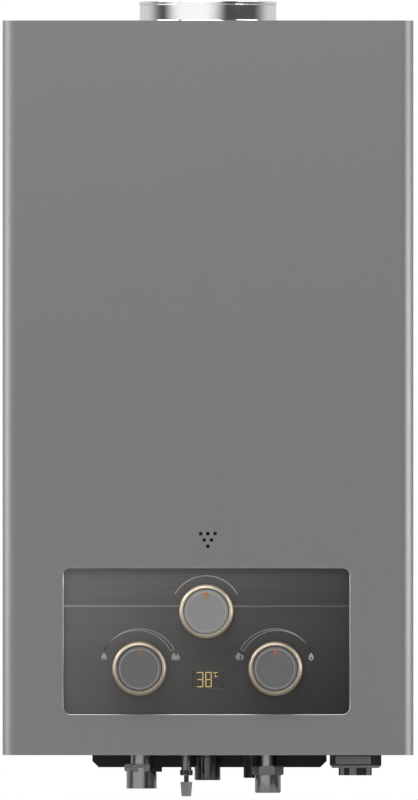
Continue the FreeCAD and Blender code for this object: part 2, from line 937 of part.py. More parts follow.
def burner_bars():
    """Hollow stainless burners with flame slots above and a venturi mouth in front."""
    front = stack_front + frame_wall
    back = stack_back - frame_wall

    def top_edge(edge):
        return along(1)(edge) and edge.CenterOfMass.z > bar_top - 1
    bars = []
    for x in bar_places():
        bar = rounded_box(x - bar_w / 2, x + bar_w / 2, front, back, bar_bottom, bar_top, bar_round, top_edge)
        bar = bar.cut(box(x - bar_w / 2 + bar_wall, x + bar_w / 2 - bar_wall, front + bar_wall, back - bar_wall,
                          bar_bottom + bar_wall, bar_top - bar_round))
        pitch = (back - front) / (bar_slots + 1)
        for slot in range(bar_slots):
            y = front + pitch * (slot + 1)
            bar = bar.cut(box(x - bar_w / 2 - 1, x + bar_w / 2 + 1, y - bar_slot_w / 2, y + bar_slot_w / 2,
                              bar_top - bar_slot_depth, bar_top + 1))
        bar = bar.cut(rod_y(venturi_r, x, front - 1, front + bar_wall + 1, selector_z))
        bars.append(bar)
    return Part.makeCompound(bars)


def gas_manifold():
    """Cast gas rail in front of the burner, with the selector's bore in the middle."""
    end = stack_w / 2 - manifold_lug / 2
    low = selector_z - manifold_h / 2
    high = selector_z + manifold_h / 2
    rail = rounded_box(-end, end, manifold_front, manifold_back, low, high, manifold_round, along(0))
    for side in (-1, 1):
        inside = side * (end - manifold_lug)
        rail = rail.fuse(box(min(side * end, inside), max(side * end, inside), manifold_back, stack_front,
                             low + manifold_h / 4, high - manifold_h / 4))
    rail = rail.cut(spindle_bore(selector_x, selector_z, manifold_front, selector_bore))
    return rail.removeSplitter()


def gas_nozzles():
    nozzles = []
    for x in bar_places():
        nozzle = hexagon(nozzle_hex, V(x, manifold_back, selector_z), V(0, 1, 0), nozzle_hex_h)
        tip = stack_front + frame_wall + nozzle_reach
        nozzle = nozzle.fuse(rod_y(nozzle_r, x, manifold_back, tip, selector_z))
        nozzle = nozzle.cut(rod_y(nozzle_bore_r, x, manifold_back - 1, tip + 1, selector_z))
        nozzles.append(nozzle.removeSplitter())
    return Part.makeCompound(nozzles)


def burner_electrodes():
    return Part.makeCompound([electrode(-electrode_x), electrode(electrode_x)])


def electrode(x):
    """Ceramic sleeve through the chamber wall and a wire that reaches over the burner."""
    ceramic = rod_y(ceramic_r, x, stack_front - ceramic_out, stack_front + ceramic_in, electrode_z)
    wire_y = stack_front + ceramic_in
    wire = swept(bent_wire([V(x, wire_y, electrode_z), V(x, wire_y + wire_reach, electrode_z),
                            V(x, wire_y + wire_reach, bar_top + spark_gap)], wire_bend), wire_r)
    flange = box(x - 2 * ceramic_r, x + 2 * ceramic_r, stack_front - stack_wall, stack_front,
                 electrode_z - ceramic_r - 1, electrode_z + ceramic_r + 1)
    return ceramic.fuse([wire, flange]).removeSplitter()


# ---------------------------------------------------------------- gas side
def gas_valve_body():
    """Cast gas valve: body, inlet foot, spindle boss and the bores along the linkage axis."""
    body = rounded_box(gas_left, gas_right, valve_front_y, valve_back_y, gas_bottom, gas_top,
                       casting_round, along(2))
    foot = rounded_box(gas_left, gas_foot_right, gas_foot_front, valve_back_y, foot_bottom, gas_bottom,
                       casting_round, along(2))
    body = body.fuse(foot)
    body = body.fuse(rod_y(spindle_boss_r, flame_knob_x, valve_front_y - spindle_boss, valve_front_y,
                           lower_knob_z))
    body = body.cut(rod_x(chamber_r, gas_left - 1, partition_x, link_y, link_z))
    body = body.cut(rod_x(partition_bore_r, gas_left, seat_x, link_y, link_z))
    body = body.cut(rod_x(chamber_r, partition_x + partition_wall, seat_x, link_y, link_z))
    body = body.cut(rod_x(seat_bore_r, seat_x - 1, gas_right - link_wall, link_y, link_z))
    body = body.cut(rod_x(link_rod_r + spindle_fit, gas_right - link_wall - 1, gas_right + 1, link_y, link_z))
    body = body.cut(spindle_bore(flame_knob_x, lower_knob_z, valve_front_y - spindle_boss,
                                 spindle_boss + spindle_depth))
    body = body.cut(rod_z(gas_bore_r, gas_inlet_x, gas_inlet_y, foot_bottom - 1, gas_bottom - gas_bore_roof))
    body = body.cut(rod_y(riser_bore_r, riser_x, valve_front_y - 1, valve_front_y + riser_port, riser_z))
    return body.removeSplitter()


def gas_riser():
    """Bent tube from the valve's front face up to the gas rail, with a flange on the valve."""
    centre_y = (manifold_front + manifold_back) / 2
    route = bent_wire([V(riser_x, valve_front_y, riser_z), V(riser_x, centre_y, riser_z),
                       V(riser_x, centre_y, selector_z - manifold_h / 2)], riser_bend)
    flange = rod_y(riser_flange_r, riser_x, valve_front_y - riser_flange, valve_front_y, riser_z)
    return swept(route, riser_r).fuse(flange).cut(swept(route, riser_bore_r)).removeSplitter()


def gas_inlet_nipple():
    """Half-inch male gas inlet with a flange on the valve's foot."""
    nipple = rod_z(half_inch_r, gas_inlet_x, gas_inlet_y, gas_inlet_low, gas_inlet_shoulder)
    nipple = nipple.fuse(rod_z(gas_neck_r, gas_inlet_x, gas_inlet_y, gas_inlet_shoulder, foot_bottom))
    nipple = nipple.fuse(rod_z(gas_flange_r, gas_inlet_x, gas_inlet_y, foot_bottom - gas_flange, foot_bottom))
    bore = rod_z(gas_bore_r, gas_inlet_x, gas_inlet_y, gas_inlet_low - 1, foot_bottom + 1)
    return nipple.cut(bore).removeSplitter()


def solenoid_coil():
    """Safety solenoid: coil can with a flange on the valve and a blind bore for the plunger."""
    end = gas_left - solenoid_len
    coil_can = rod_x(solenoid_r, end, gas_left, link_y, link_z)
    coil_can = coil_can.fuse(rod_x(solenoid_flange_r, gas_left - solenoid_flange, gas_left, link_y, link_z))
    bore = rod_x(plunger_r + spindle_fit, end + solenoid_wall, gas_left + 1, link_y, link_z)
    return coil_can.cut(bore).removeSplitter()


def solenoid_plunger():
    """Plunger and its disc, which shuts the bore in the valve's partition."""
    left = gas_left - solenoid_len + solenoid_wall + plunger_travel + plunger_spare
    face = partition_x - seat_clear
    plunger = rod_x(plunger_r, left, face, link_y, link_z)
    return plunger.fuse(rod_x(disc_r, face - disc_thick, face, link_y, link_z)).removeSplitter()


def linkage_rod():
    """Push rod: pressure plate on the diaphragm, switch collar and gas valve disc."""
    face = seat_x - seat_clear
    rod = rod_x(link_rod_r, face - disc_thick, diaphragm_x, link_y, link_z)
    rod = rod.fuse(rod_x(plate_r, rod_plate_x, diaphragm_x, link_y, link_z))
    rod = rod.fuse(rod_x(link_collar_r, link_collar_x, link_collar_x + link_collar_w, link_y, link_z))
    return rod.fuse(rod_x(disc_r, face - disc_thick, face, link_y, link_z)).removeSplitter()


def gas_valve_spring():
    left = partition_x + partition_wall
    right = seat_x - seat_clear - disc_thick
    return coil(spring_r, spring_wire_r, right - left, spring_turns, V(left, link_y, link_z), V(1, 0, 0))


# ---------------------------------------------------------------- micro switch on the linkage
def microswitch():
    """Switch case on the gas valve's side, with two ears for the lever's pin."""
    left = gas_right
    right = left + switch_w
    y0 = link_y - switch_t / 2
    y1 = link_y + switch_t / 2
    case = box(left, right, y0, y1, switch_top - switch_h, switch_top)
    ear_low = lever_pivot_z - lever_ear_h / 2
    pivot_x = lever_x + lever_thick / 2
    for y in (y0, y1 - lever_ear):
        case = case.fuse(box(right, pivot_x + 2 * lever_pin_r, y, y + lever_ear, ear_low, switch_top))
    case = case.cut(rod_y(lever_pin_r + spindle_fit, pivot_x, y0 - 1, y1 + 1, lever_pivot_z))
    bore_end = right - switch_button_in - switch_travel - switch_spare
    bore = rod_x(switch_button_r + spindle_fit, bore_end, right + 1, link_y, switch_button_z)
    return case.cut(bore).removeSplitter()


def microswitch_lever():
    """Thin blade that the linkage collar pushes; its pin turns in the switch's ears."""
    pivot_x = lever_x + lever_thick / 2
    blade = box(lever_x, lever_x + lever_thick, link_y - lever_w / 2, link_y + lever_w / 2,
                lever_tip_z, lever_pivot_z)
    pin = rod_y(lever_pin_r, pivot_x, link_y - switch_t / 2, link_y + switch_t / 2, lever_pivot_z)
    return blade.fuse(pin).removeSplitter()


def microswitch_button():
    right = gas_right + switch_w
    return rod_x(switch_button_r, right - switch_button_in, lever_x - seat_clear, link_y, switch_button_z)


# ---------------------------------------------------------------- water side
def housing_screw_places():
    pitch_r = (housing_r + housing_bore_r) / 2
    places = []
    for index in range(housing_screw_count):
        angle = 2 * math.pi * (index + 0.5) / housing_screw_count
        places.append((link_y + pitch_r * math.cos(angle), link_z + pitch_r * math.sin(angle)))
    return places


def housing_screw_holes():
    end = diaphragm_x + diaphragm_thick + housing_screw_depth
    return [rod_x(housing_screw_r + hole_clear / 4, housing_front_x - 1, end, y, z)
            for y, z in housing_screw_places()]


def water_valve_body():
    """Brass water valve: body, inlet foot, spindle boss and half of the diaphragm housing."""
    housing_face = diaphragm_x + diaphragm_thick
    body = rounded_box(water_left, water_right, valve_front_y, valve_back_y, water_bottom, water_top,
                       casting_round, along(2))
    foot = rounded_box(water_foot_left, water_foot_right, valve_front_y, water_foot_back,
                       foot_bottom, water_bottom, casting_round, along(2))
    body = body.fuse(foot)
    body = body.fuse(rod_x(housing_r, housing_face, water_left, link_y, link_z))
    body = body.fuse(rod_y(spindle_boss_r, water_knob_x, valve_front_y - spindle_boss, valve_front_y,
                           lower_knob_z))
    body = body.cut(rod_x(housing_bore_r, housing_face - 1, water_left - housing_wall, link_y, link_z))
    body = body.cut(rod_x(water_chamber_r, housing_face - 1, water_right - port_depth - 1, link_y, link_z))
    body = body.cut(spindle_bore(water_knob_x, lower_knob_z, valve_front_y - spindle_boss,
                                 spindle_boss + spindle_depth))
    socket_r = cold_neck_r + spindle_fit
    body = body.cut(rod_z(socket_r, cold_x, cold_y, foot_bottom - 1, foot_bottom + cold_spigot))
    body = body.cut(rod_x(pipe_r - pipe_wall, water_right - port_depth, water_right + 1,
                          cold_pipe_y, cold_pipe_z))
    return body.cut(housing_screw_holes()).removeSplitter()


def diaphragm_cover():
    cover = rod_x(housing_r, housing_front_x, diaphragm_x, link_y, link_z)
    cover = cover.cut(rod_x(housing_bore_r, housing_front_x + housing_wall, diaphragm_x + 1, link_y, link_z))
    cover = cover.cut(rod_x(link_rod_r + spindle_fit, housing_front_x - 1, diaphragm_x, link_y, link_z))
    return cover.cut(housing_screw_holes()).removeSplitter()


def diaphragm():
    disc = rod_x(housing_r, diaphragm_x, diaphragm_x + diaphragm_thick, link_y, link_z)
    return disc.cut(housing_screw_holes())


def screws():
    """Countersunk cover screws and the pan-head screws of the diaphragm housing."""
    end = diaphragm_x + diaphragm_thick + housing_screw_depth
    screws = [cover_screw(x, y, side) for x, y, side in cover_screw_places()]
    for y, z in housing_screw_places():
        screw = rod_x(housing_screw_r, housing_front_x - housing_screw_head, end, y, z)
        head = rod_x(housing_screw_head_r, housing_front_x - housing_screw_head, housing_front_x, y, z)
        screws.append(screw.fuse(head).removeSplitter())
    return Part.makeCompound(screws)


def cold_inlet_nipple():
    """Half-inch male water inlet with a hexagon, screwed into the valve's foot."""
    nipple = rod_z(half_inch_r, cold_x, cold_y, cold_low, cold_hex_low)
    nipple = nipple.fuse(hexagon(cold_hex_af, V(cold_x, cold_y, cold_hex_low), V(0, 0, 1),
                                 cold_hex_top - cold_hex_low, cold_hex_turn))
    nipple = nipple.fuse(rod_z(cold_neck_r, cold_x, cold_y, cold_hex_top, foot_bottom + cold_spigot))
    bore = rod_z(cold_bore_r, cold_x, cold_y, cold_low - 1, foot_bottom + cold_spigot + 1)
    return nipple.cut(bore).removeSplitter()


def drain_cap():
    """Black filter and drain cap with grip ribs."""
    cap = rod_z(drain_r - drain_rib, drain_x, drain_y, drain_low, foot_bottom)
    for index in range(drain_rib_count):
        angle = 2 * math.pi * index / drain_rib_count
        x = drain_x + (drain_r - drain_rib) * math.cos(angle)
        y = drain_y + (drain_r - drain_rib) * math.sin(angle)
        cap = cap.fuse(rod_z(drain_rib, x, y, drain_low, foot_bottom))
    return cap.removeSplitter()


# ---------------------------------------------------------------- hot outlet and relief screw
def hot_outlet_block():
    """Brass outlet: body, tail for the swivel nut, pipe arm and the relief screw's arm and guide."""
    tail_top = nut_top - nut_lip - nut_fit
    block = rod_z(hot_body_r, hot_x, hot_y, hot_body_low, hot_body_top)
    block = block.fuse(rod_z(hot_neck_r, hot_x, hot_y, tail_top, hot_body_low))
    block = block.fuse(rod_z(tail_flange_r, hot_x, hot_y, tail_top - tail_flange, tail_top))
    block = block.fuse(rod_x(hot_arm_r, hot_arm_end, hot_x, hot_y, hot_arm_z))
    block = block.fuse(rod_x(relief_arm_r, hot_x, relief_x, hot_y, hot_arm_z))
    block = block.fuse(rod_z(relief_boss_r, relief_x, hot_y, hot_body_low, relief_boss_top))
    block = block.fuse(rod_z(relief_stem_r, relief_x, hot_y, relief_collar_low, hot_body_low))
    block = block.fuse(rod_z(relief_collar_r, relief_x, hot_y, relief_collar_low, relief_collar_top))
    block = block.cut(rod_z(hot_bore_r, hot_x, hot_y, tail_top - tail_flange - 1, hot_arm_z))
    block = block.cut(rod_x(hot_bore_r, hot_arm_end - 1, hot_x, hot_y, hot_arm_z))
    block = block.cut(rod_z(relief_seal_r + relief_seal_fit, relief_x, hot_y, hot_body_low, relief_seat_z))
    guide_r = relief_screw_r + relief_seal_fit
    block = block.cut(rod_z(guide_r, relief_x, hot_y, relief_collar_low - 1, hot_body_low + 1))
    block = block.cut(rod_z(relief_screw_r, relief_x, hot_y, relief_seat_z - 1, hot_arm_z))
    return block.cut(rod_x(relief_screw_r, hot_x, relief_x, hot_y, hot_arm_z)).removeSplitter()


def hot_outlet_nut():
    """Swivel nut with a round skirt, captive on the outlet's tail."""
    nut = hexagon(nut_af, V(hot_x, hot_y, nut_hex_low), V(0, 0, 1), nut_top - nut_hex_low, nut_hex_turn)
    nut = nut.fuse(rod_z(nut_skirt_r, hot_x, hot_y, nut_low, nut_hex_low))
    nut = nut.cut(rod_z(half_inch_r, hot_x, hot_y, nut_low - 1, nut_thread_top))
    nut = nut.cut(rod_z(nut_groove_r, hot_x, hot_y, nut_thread_top, nut_top - nut_lip))
    lip_hole = rod_z(hot_neck_r + nut_fit, hot_x, hot_y, nut_top - nut_lip - 1, nut_top + 1)
    return nut.cut(lip_hole).removeSplitter()


def relief_seal():
    """Rubber seal that the screw lifts onto its seat and lets down again."""
    top = relief_seat_z - seat_clear
    return rod_z(relief_seal_r, relief_x, hot_y, top - relief_seal_h, top)


def relief_screw():
    """Screw stem and knurled thumb grip."""
    top = relief_seat_z - seat_clear - relief_seal_h
    stem = rod_z(relief_screw_r, relief_x, hot_y, thumb_top, top)
    grip = Part.makeCone(thumb_low_r, thumb_top_r, thumb_top - thumb_low, V(relief_x, hot_y, thumb_low))
    middle_r = (thumb_low_r + thumb_top_r) / 2
    groove = math.pi * middle_r / thumb_rib_count / 3
    for index in range(thumb_rib_count):
        angle = 2 * math.pi * index / thumb_rib_count
        direction = V(math.cos(angle), math.sin(angle), 0)
        low = V(relief_x, hot_y, thumb_low - 1) + direction * thumb_low_r
        high = V(relief_x, hot_y, thumb_top + 1) + direction * thumb_top_r
        grip = grip.cut(Part.makeCylinder(groove, (high - low).Length, low, high - low))
    return stem.fuse(grip).removeSplitter()


# ---------------------------------------------------------------- pipes
def hollow_pipe(points):
    route = bent_wire(points, pipe_bend)
    return swept(route, pipe_r).cut(swept(route, pipe_r - pipe_wall))


def cold_pipe():
    """From the water valve up the right side to the front tube of the exchanger."""
    front_tube = tube_places()[0]
    return hollow_pipe([
        V(water_right, cold_pipe_y, cold_pipe_z),
        V(cold_pipe_x, cold_pipe_y, cold_pipe_z),
        V(cold_pipe_x, cold_pipe_y, tube_z - cold_jog_low),
        V(cold_pipe_x, front_tube, tube_z - cold_jog_high),
        V(cold_pipe_x, front_tube, tube_z),
        V(tube_x, front_tube, tube_z),
    ])


def hot_pipe():
    """From the rear tube of the exchanger down the left side to the hot outlet."""
    rear_tube = tube_places()[-1]
    return hollow_pipe([
        V(-tube_x, rear_tube, tube_z),
        V(hot_pipe_x, rear_tube, tube_z),
        V(hot_pipe_x, rear_tube, tube_z - hot_jog_high),
        V(hot_pipe_x, hot_y, tube_z - hot_jog_low),
        V(hot_pipe_x, hot_y, hot_arm_z),
        V(hot_arm_end, hot_y, hot_arm_z),
    ])


def union_nuts():
    """Brass nuts at the four ends of the pipes."""
    rear_tube = tube_places()[-1]
    front_tube = tube_places()[0]
    half = union_len / 2
    places = [
        (water_right, cold_pipe_y, cold_pipe_z, pipe_r),
        (hot_arm_end - union_len, hot_y, hot_arm_z, pipe_r),
        (tube_x - half, front_tube, tube_z, tube_r),
        (-tube_x - half, rear_tube, tube_z, tube_r),
    ]
    nuts = []
    for x, y, z, bore in places:
        nut = hexagon(union_af, V(x, y, z), V(1, 0, 0), union_len)
        nuts.append(nut.cut(rod_x(bore + union_fit, x - 1, x + union_len + 1, y, z)))
    return Part.makeCompound(nuts)


# ---------------------------------------------------------------- valve bracket and intake guard
def valve_bracket():
    """Folded plate behind both valves, standing on the base plate."""
    low = -plate_under
    plate = box(gas_left, water_right, valve_back_y, lower_bracket_y, low, gas_top)
    foot = box(gas_left, water_right, valve_back_y - front_flange, valve_back_y, low, low + bracket_sheet)
    window = box(gas_right, water_foot_left, valve_back_y - 1, lower_bracket_y + 1,
                 gas_bottom, gas_top - bracket_rail)
    return plate.fuse(foot).cut(window).removeSplitter()


def guard_slot_places():
    width = guard_right - guard_left - 2 * guard_chamfer
    pitch = width / guard_slots
    return [guard_left + guard_chamfer + pitch * (index + 0.5) for index in range(guard_slots)]


def intake_guard():
    """Black tray below the base plate: the burner draws its air through the slots."""
    top = -plate_top

    def low_edge(edge):
        return along(1)(edge) and edge.CenterOfMass.z < guard_low + 1e-3
    outer = box(guard_left, guard_right, guard_front, guard_back, guard_low, top)
    outer = outer.makeChamfer(guard_chamfer, [edge for edge in outer.Edges if low_edge(edge)])
    inner = box(guard_left + guard_wall, guard_right - guard_wall, guard_front + guard_wall,
                guard_back - guard_wall, guard_low + guard_wall, top + 1)
    inner_floor = guard_low + guard_wall + 1e-3
    inner_low = [edge for edge in inner.Edges if along(1)(edge) and edge.CenterOfMass.z < inner_floor]
    tray = outer.cut(inner.makeChamfer(guard_chamfer, inner_low))
    for x in guard_slot_places():
        tray = tray.cut(box(x - guard_slot_w / 2, x + guard_slot_w / 2, guard_front + 4 * guard_wall,
                            guard_back - 4 * guard_wall, guard_low - 1, guard_low + guard_wall + 1))
    tab = box(tab_left, tab_right, guard_front, guard_front + tab_depth, tab_low, guard_low + guard_wall)
    return tray.fuse(tab).removeSplitter()


# ---------------------------------------------------------------- battery case
def cell_places():
    middle_y = battery_front + battery_depth / 2
    x = (battery_left + battery_right) / 2
    offset = cell_r + cell_gap / 2
    return [(x, middle_y - offset), (x, middle_y + offset)]


def lid_hinge_ears():
    """X ranges of the two hinge ears of the case."""
    return ((battery_left + battery_wall, battery_left + battery_wall + lid_ear),
            (battery_right - battery_wall - lid_ear, battery_right - battery_wall))


def battery_box():
    """Case for two D cells, open below, hung by a flange on the base plate."""
    case = box(battery_left, battery_right, battery_front, battery_back, battery_low, battery_top)
    flange_low = -plate_under
    case = case.fuse(box(battery_left - battery_flange, battery_right + battery_flange,
                         battery_front - battery_flange, battery_back + battery_flange,
                         flange_low, flange_low + battery_flange_thick))
    case = case.cut(box(battery_left + battery_wall, battery_right - battery_wall,
                        battery_front + battery_wall, battery_back - battery_wall,
                        battery_low - 1, battery_top - battery_wall))
    for x0, x1 in lid_hinge_ears():
        ear = rod_x(lid_hinge_r, x0, x1, lid_hinge_y, lid_hinge_z)
        ear_top = battery_low + lid_ear_h
        ear = ear.fuse(box(x0, x1, battery_back, lid_hinge_y + lid_hinge_r, lid_hinge_z, ear_top))
        ear = ear.cut(rod_x(lid_pin_r + lid_hinge_fit, x0 - 1, x1 + 1, lid_hinge_y, lid_hinge_z))
        case = case.fuse(ear)
    return case.removeSplitter()


def battery_lid():
    """Bottom lid with a ribbed grip in front and a hinge pin behind."""
    def low_side(edge):
        return along(1)(edge) and edge.CenterOfMass.z < lid_low + 1e-3
    plate = box(battery_left, battery_right, battery_front, battery_back - lid_gap, lid_low, lid_top)
    plate = plate.makeChamfer(lid_chamfer, [edge for edge in plate.Edges if low_side(edge)])
    ears = lid_hinge_ears()
    x0 = ears[0][1] + lid_gap
    x1 = ears[1][0] - lid_gap
    knuckle = rod_x(lid_hinge_r, x0, x1, lid_hinge_y, lid_hinge_z)
    knuckle = knuckle.fuse(box(x0, x1, battery_back - lid_web, lid_hinge_y, lid_low, lid_top - lid_gap))
    pin = rod_x(lid_pin_r, ears[0][0], ears[1][1], lid_hinge_y, lid_hinge_z)
    grip = box(grip_left, grip_right, battery_front, battery_front + grip_depth, grip_low, lid_low)
    return plate.fuse([knuckle, pin, grip]).removeSplitter()


def battery_cells():
    top = lid_top + contact_thick + cell_len
    cells = []
    for x, y in cell_places():
        cell = rod_z(cell_r, x, y, lid_top + contact_thick, top - cell_tip)
        cells.append(cell.fuse(rod_z(cell_tip_r, x, y, top - cell_tip, top)).removeSplitter())
    return Part.makeCompound(cells)


def battery_contacts():
    """Contact strip under the case's roof and a spring over each cell."""
    roof = battery_top - battery_wall
    cell_top = lid_top + contact_thick + cell_len
    middle_y = battery_front + battery_depth / 2
    x = (battery_left + battery_right) / 2
    strip = box(x - cell_tip_r * 2, x + cell_tip_r * 2, middle_y - 2 * cell_r, middle_y + 2 * cell_r,
                roof - contact_thick, roof)
    parts = [strip]
    height = roof - contact_thick - cell_top
    for x, y in cell_places():
        foot = V(x, y, cell_top)
        parts.append(coil(contact_spring_r, contact_wire_r, height, contact_turns, foot, V(0, 0, 1)))
    return Part.makeCompound(parts)


# ---------------------------------------------------------------- igniter
def igniter_box():
    case = rounded_box(igniter_left, igniter_right, -sheet - igniter_depth, -sheet, igniter_low, igniter_top,
                       igniter_round, along(1))
    boss_x = lead_x
    boss = rod_z(2 * lead_r, boss_x, -sheet - igniter_depth / 2, igniter_top, igniter_top + lead_boss)
    return case.fuse(boss).removeSplitter()


def lead_route():
    """Ignition lead: up from the igniter, forward beside the stack, across to the left electrode."""
    box_y = -sheet - igniter_depth / 2
    side = lead_x
    front = stack_front - ceramic_out
    low = electrode_z + ceramic_r + cover_gap
    return [
        V(side, box_y, igniter_top + lead_boss),
        V(side, box_y, chamber_bottom),
        V(side, box_y - 1.5 * lead_step, chamber_bottom + 2.2 * lead_step),
        V(side, box_y - 4.5 * lead_step, chamber_bottom + 3.4 * lead_step),
        V(side, stack_front + 4 * lead_step, chamber_bottom + 3.8 * lead_step),
        V(side + 0.2 * lead_step, stack_front + 0.6 * lead_step, chamber_bottom + 4 * lead_step),
        V(side + 1.9 * lead_step, front + 0.1 * lead_step, chamber_bottom + 4.1 * lead_step),
        V(side + 4.9 * lead_step, front + 0.1 * lead_step, chamber_bottom + 4.2 * lead_step),
        V(-electrode_x - 1.2 * lead_step, front + 0.2 * lead_step, chamber_bottom + 4.2 * lead_step),
        V(-electrode_x, front + 0.3 * lead_step, chamber_bottom + 3.2 * lead_step),
        V(-electrode_x, front + 0.3 * lead_step, low),
    ]


def ignition_lead():
    points = lead_route()
    bends = []
    for index in range(len(points) - 2):
        into = points[index + 1] - points[index]
        out = points[index + 2] - points[index + 1]
        turn = into.getAngle(out)
        bends.append(0.45 * min(into.Length, out.Length) / math.tan(turn / 2))
    print("lead bend radii", [round(bend, 1) for bend in bends])
    route = bent_wire(points, bends)
    lead = swept(route, lead_r)
    ideal = math.pi * lead_r ** 2 * route.Length
    print("lead volume over section times length", round(lead.Volume / ideal, 4))
    return lead


# ---------------------------------------------------------------- everything
def knob_parts():
    """Cap, bezel and spindle of each knob."""
    valve_end = valve_front_y + spindle_depth - spindle_end_gap
    selector_end = manifold_front + selector_bore - spindle_end_gap
    rows = (
        ("selector", selector_x, selector_z, selector_end),
        ("flame", flame_knob_x, lower_knob_z, valve_end),
        ("water", water_knob_x, lower_knob_z, valve_end),
    )
    parts = {}
    for name, x, z, end_y in rows:
        parts[name + "_knob_cap"] = knob_cap(x, z)
        parts[name + "_knob_bezel"] = knob_bezel(x, z)
        parts[name + "_spindle"] = knob_spindle(x, z, end_y)
    return parts


def all_parts():
    parts = {
        "front_cover": front_cover(),
        "back_plate": back_plate(),
        "top_plate": top_plate(),
        "base_plate": base_plate(),
        "control_panel": control_panel(),
        "display_lens": display_lens(),
        "display_board": display_board(),
        "combustion_chamber": combustion_chamber(),
        "sight_window": sight_window(),
        "heat_exchanger_case": heat_exchanger_case(),
        "heat_exchanger_fins": heat_exchanger_fins(),
        "heat_exchanger_tubes": heat_exchanger_tubes(),
        "flue_hood": flue_hood(),
        "flue_collar": flue_collar(),
        "overheat_thermostat": overheat_thermostat(),
        "burner_frame": burner_frame(),
        "burner_bars": burner_bars(),
        "gas_manifold": gas_manifold(),
        "gas_nozzles": gas_nozzles(),
        "burner_electrodes": burner_electrodes(),
        "gas_valve_body": gas_valve_body(),
        "gas_riser": gas_riser(),
        "gas_inlet_nipple": gas_inlet_nipple(),
        "solenoid_coil": solenoid_coil(),
        "solenoid_plunger": solenoid_plunger(),
        "linkage_rod": linkage_rod(),
        "gas_valve_spring": gas_valve_spring(),
        "microswitch": microswitch(),
        "microswitch_lever": microswitch_lever(),
        "microswitch_button": microswitch_button(),
        "water_valve_body": water_valve_body(),
        "diaphragm_cover": diaphragm_cover(),
        "diaphragm": diaphragm(),
        "screws": screws(),
        "cold_inlet_nipple": cold_inlet_nipple(),
        "drain_cap": drain_cap(),
        "hot_outlet_block": hot_outlet_block(),
        "hot_outlet_nut": hot_outlet_nut(),
        "relief_seal": relief_seal(),
        "relief_screw": relief_screw(),
        "cold_pipe": cold_pipe(),
        "hot_pipe": hot_pipe(),
        "union_nuts": union_nuts(),
        "valve_bracket": valve_bracket(),
        "intake_guard": intake_guard(),
        "battery_box": battery_box(),
        "battery_lid": battery_lid(),
        "battery_cells": battery_cells(),
        "battery_contacts": battery_contacts(),
        "igniter_box": igniter_box(),
        "ignition_lead": ignition_lead(),
    }
    parts.update(knob_parts())
    return parts


os.makedirs("parts", exist_ok=True)
for node, shape in all_parts().items():
    print(node, shape.ShapeType, len(shape.Solids), shape.isValid(), round(shape.Volume, 1))
    shape.exportStep("parts/" + node + ".step")
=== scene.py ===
import math

import bmesh
import bpy
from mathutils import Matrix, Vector


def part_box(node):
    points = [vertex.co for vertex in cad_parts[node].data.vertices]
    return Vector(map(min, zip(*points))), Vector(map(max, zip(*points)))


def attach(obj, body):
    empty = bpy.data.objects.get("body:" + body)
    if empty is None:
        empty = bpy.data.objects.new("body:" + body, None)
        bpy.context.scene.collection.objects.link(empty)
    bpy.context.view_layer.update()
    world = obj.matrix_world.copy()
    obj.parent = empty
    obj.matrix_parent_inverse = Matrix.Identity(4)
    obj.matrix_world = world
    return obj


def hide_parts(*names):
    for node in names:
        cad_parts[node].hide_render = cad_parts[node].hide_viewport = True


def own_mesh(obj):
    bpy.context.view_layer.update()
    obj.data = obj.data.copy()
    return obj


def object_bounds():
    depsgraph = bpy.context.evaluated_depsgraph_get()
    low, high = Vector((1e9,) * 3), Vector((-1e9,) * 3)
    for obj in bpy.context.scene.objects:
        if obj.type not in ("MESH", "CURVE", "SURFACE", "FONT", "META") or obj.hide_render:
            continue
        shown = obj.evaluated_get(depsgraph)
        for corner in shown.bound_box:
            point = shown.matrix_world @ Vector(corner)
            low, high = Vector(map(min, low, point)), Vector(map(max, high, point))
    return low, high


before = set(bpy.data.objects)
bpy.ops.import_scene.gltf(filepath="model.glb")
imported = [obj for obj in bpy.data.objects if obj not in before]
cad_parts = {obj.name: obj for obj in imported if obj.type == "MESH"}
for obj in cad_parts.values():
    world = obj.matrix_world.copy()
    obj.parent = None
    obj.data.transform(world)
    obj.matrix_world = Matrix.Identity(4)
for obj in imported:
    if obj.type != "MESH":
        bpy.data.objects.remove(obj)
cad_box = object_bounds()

mm = 0.001

# -------------------- studio
# A level, square-on view through a very long lens. One softbox stands in front and above, and a pair
# on each side follows the rounded edges of the cover. The small pale floor shows only from above, and
# the white background shows in metal and glass where it stands behind the heater.
cover_low, cover_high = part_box("front_cover")
view_distance = 25.0
view_height = 642.4 * mm
camera_x = 0.8 * mm
camera_z = -9.8 * mm
sensor_height = 24.0
camera_data = bpy.data.cameras.new("front_camera")
camera_data.sensor_fit = "VERTICAL"
camera_data.sensor_height = sensor_height
camera_data.sensor_width = 1.75 * sensor_height
camera_data.lens = sensor_height * view_distance / view_height
camera = bpy.data.objects.new("front_camera", camera_data)
camera.location = (camera_x, cover_low.y - view_distance, camera_z)
camera.rotation_euler = (math.pi / 2, 0, 0)
bpy.context.scene.collection.objects.link(camera)
bpy.context.scene.camera = camera
bpy.context.scene.view_settings.view_transform = "Standard"

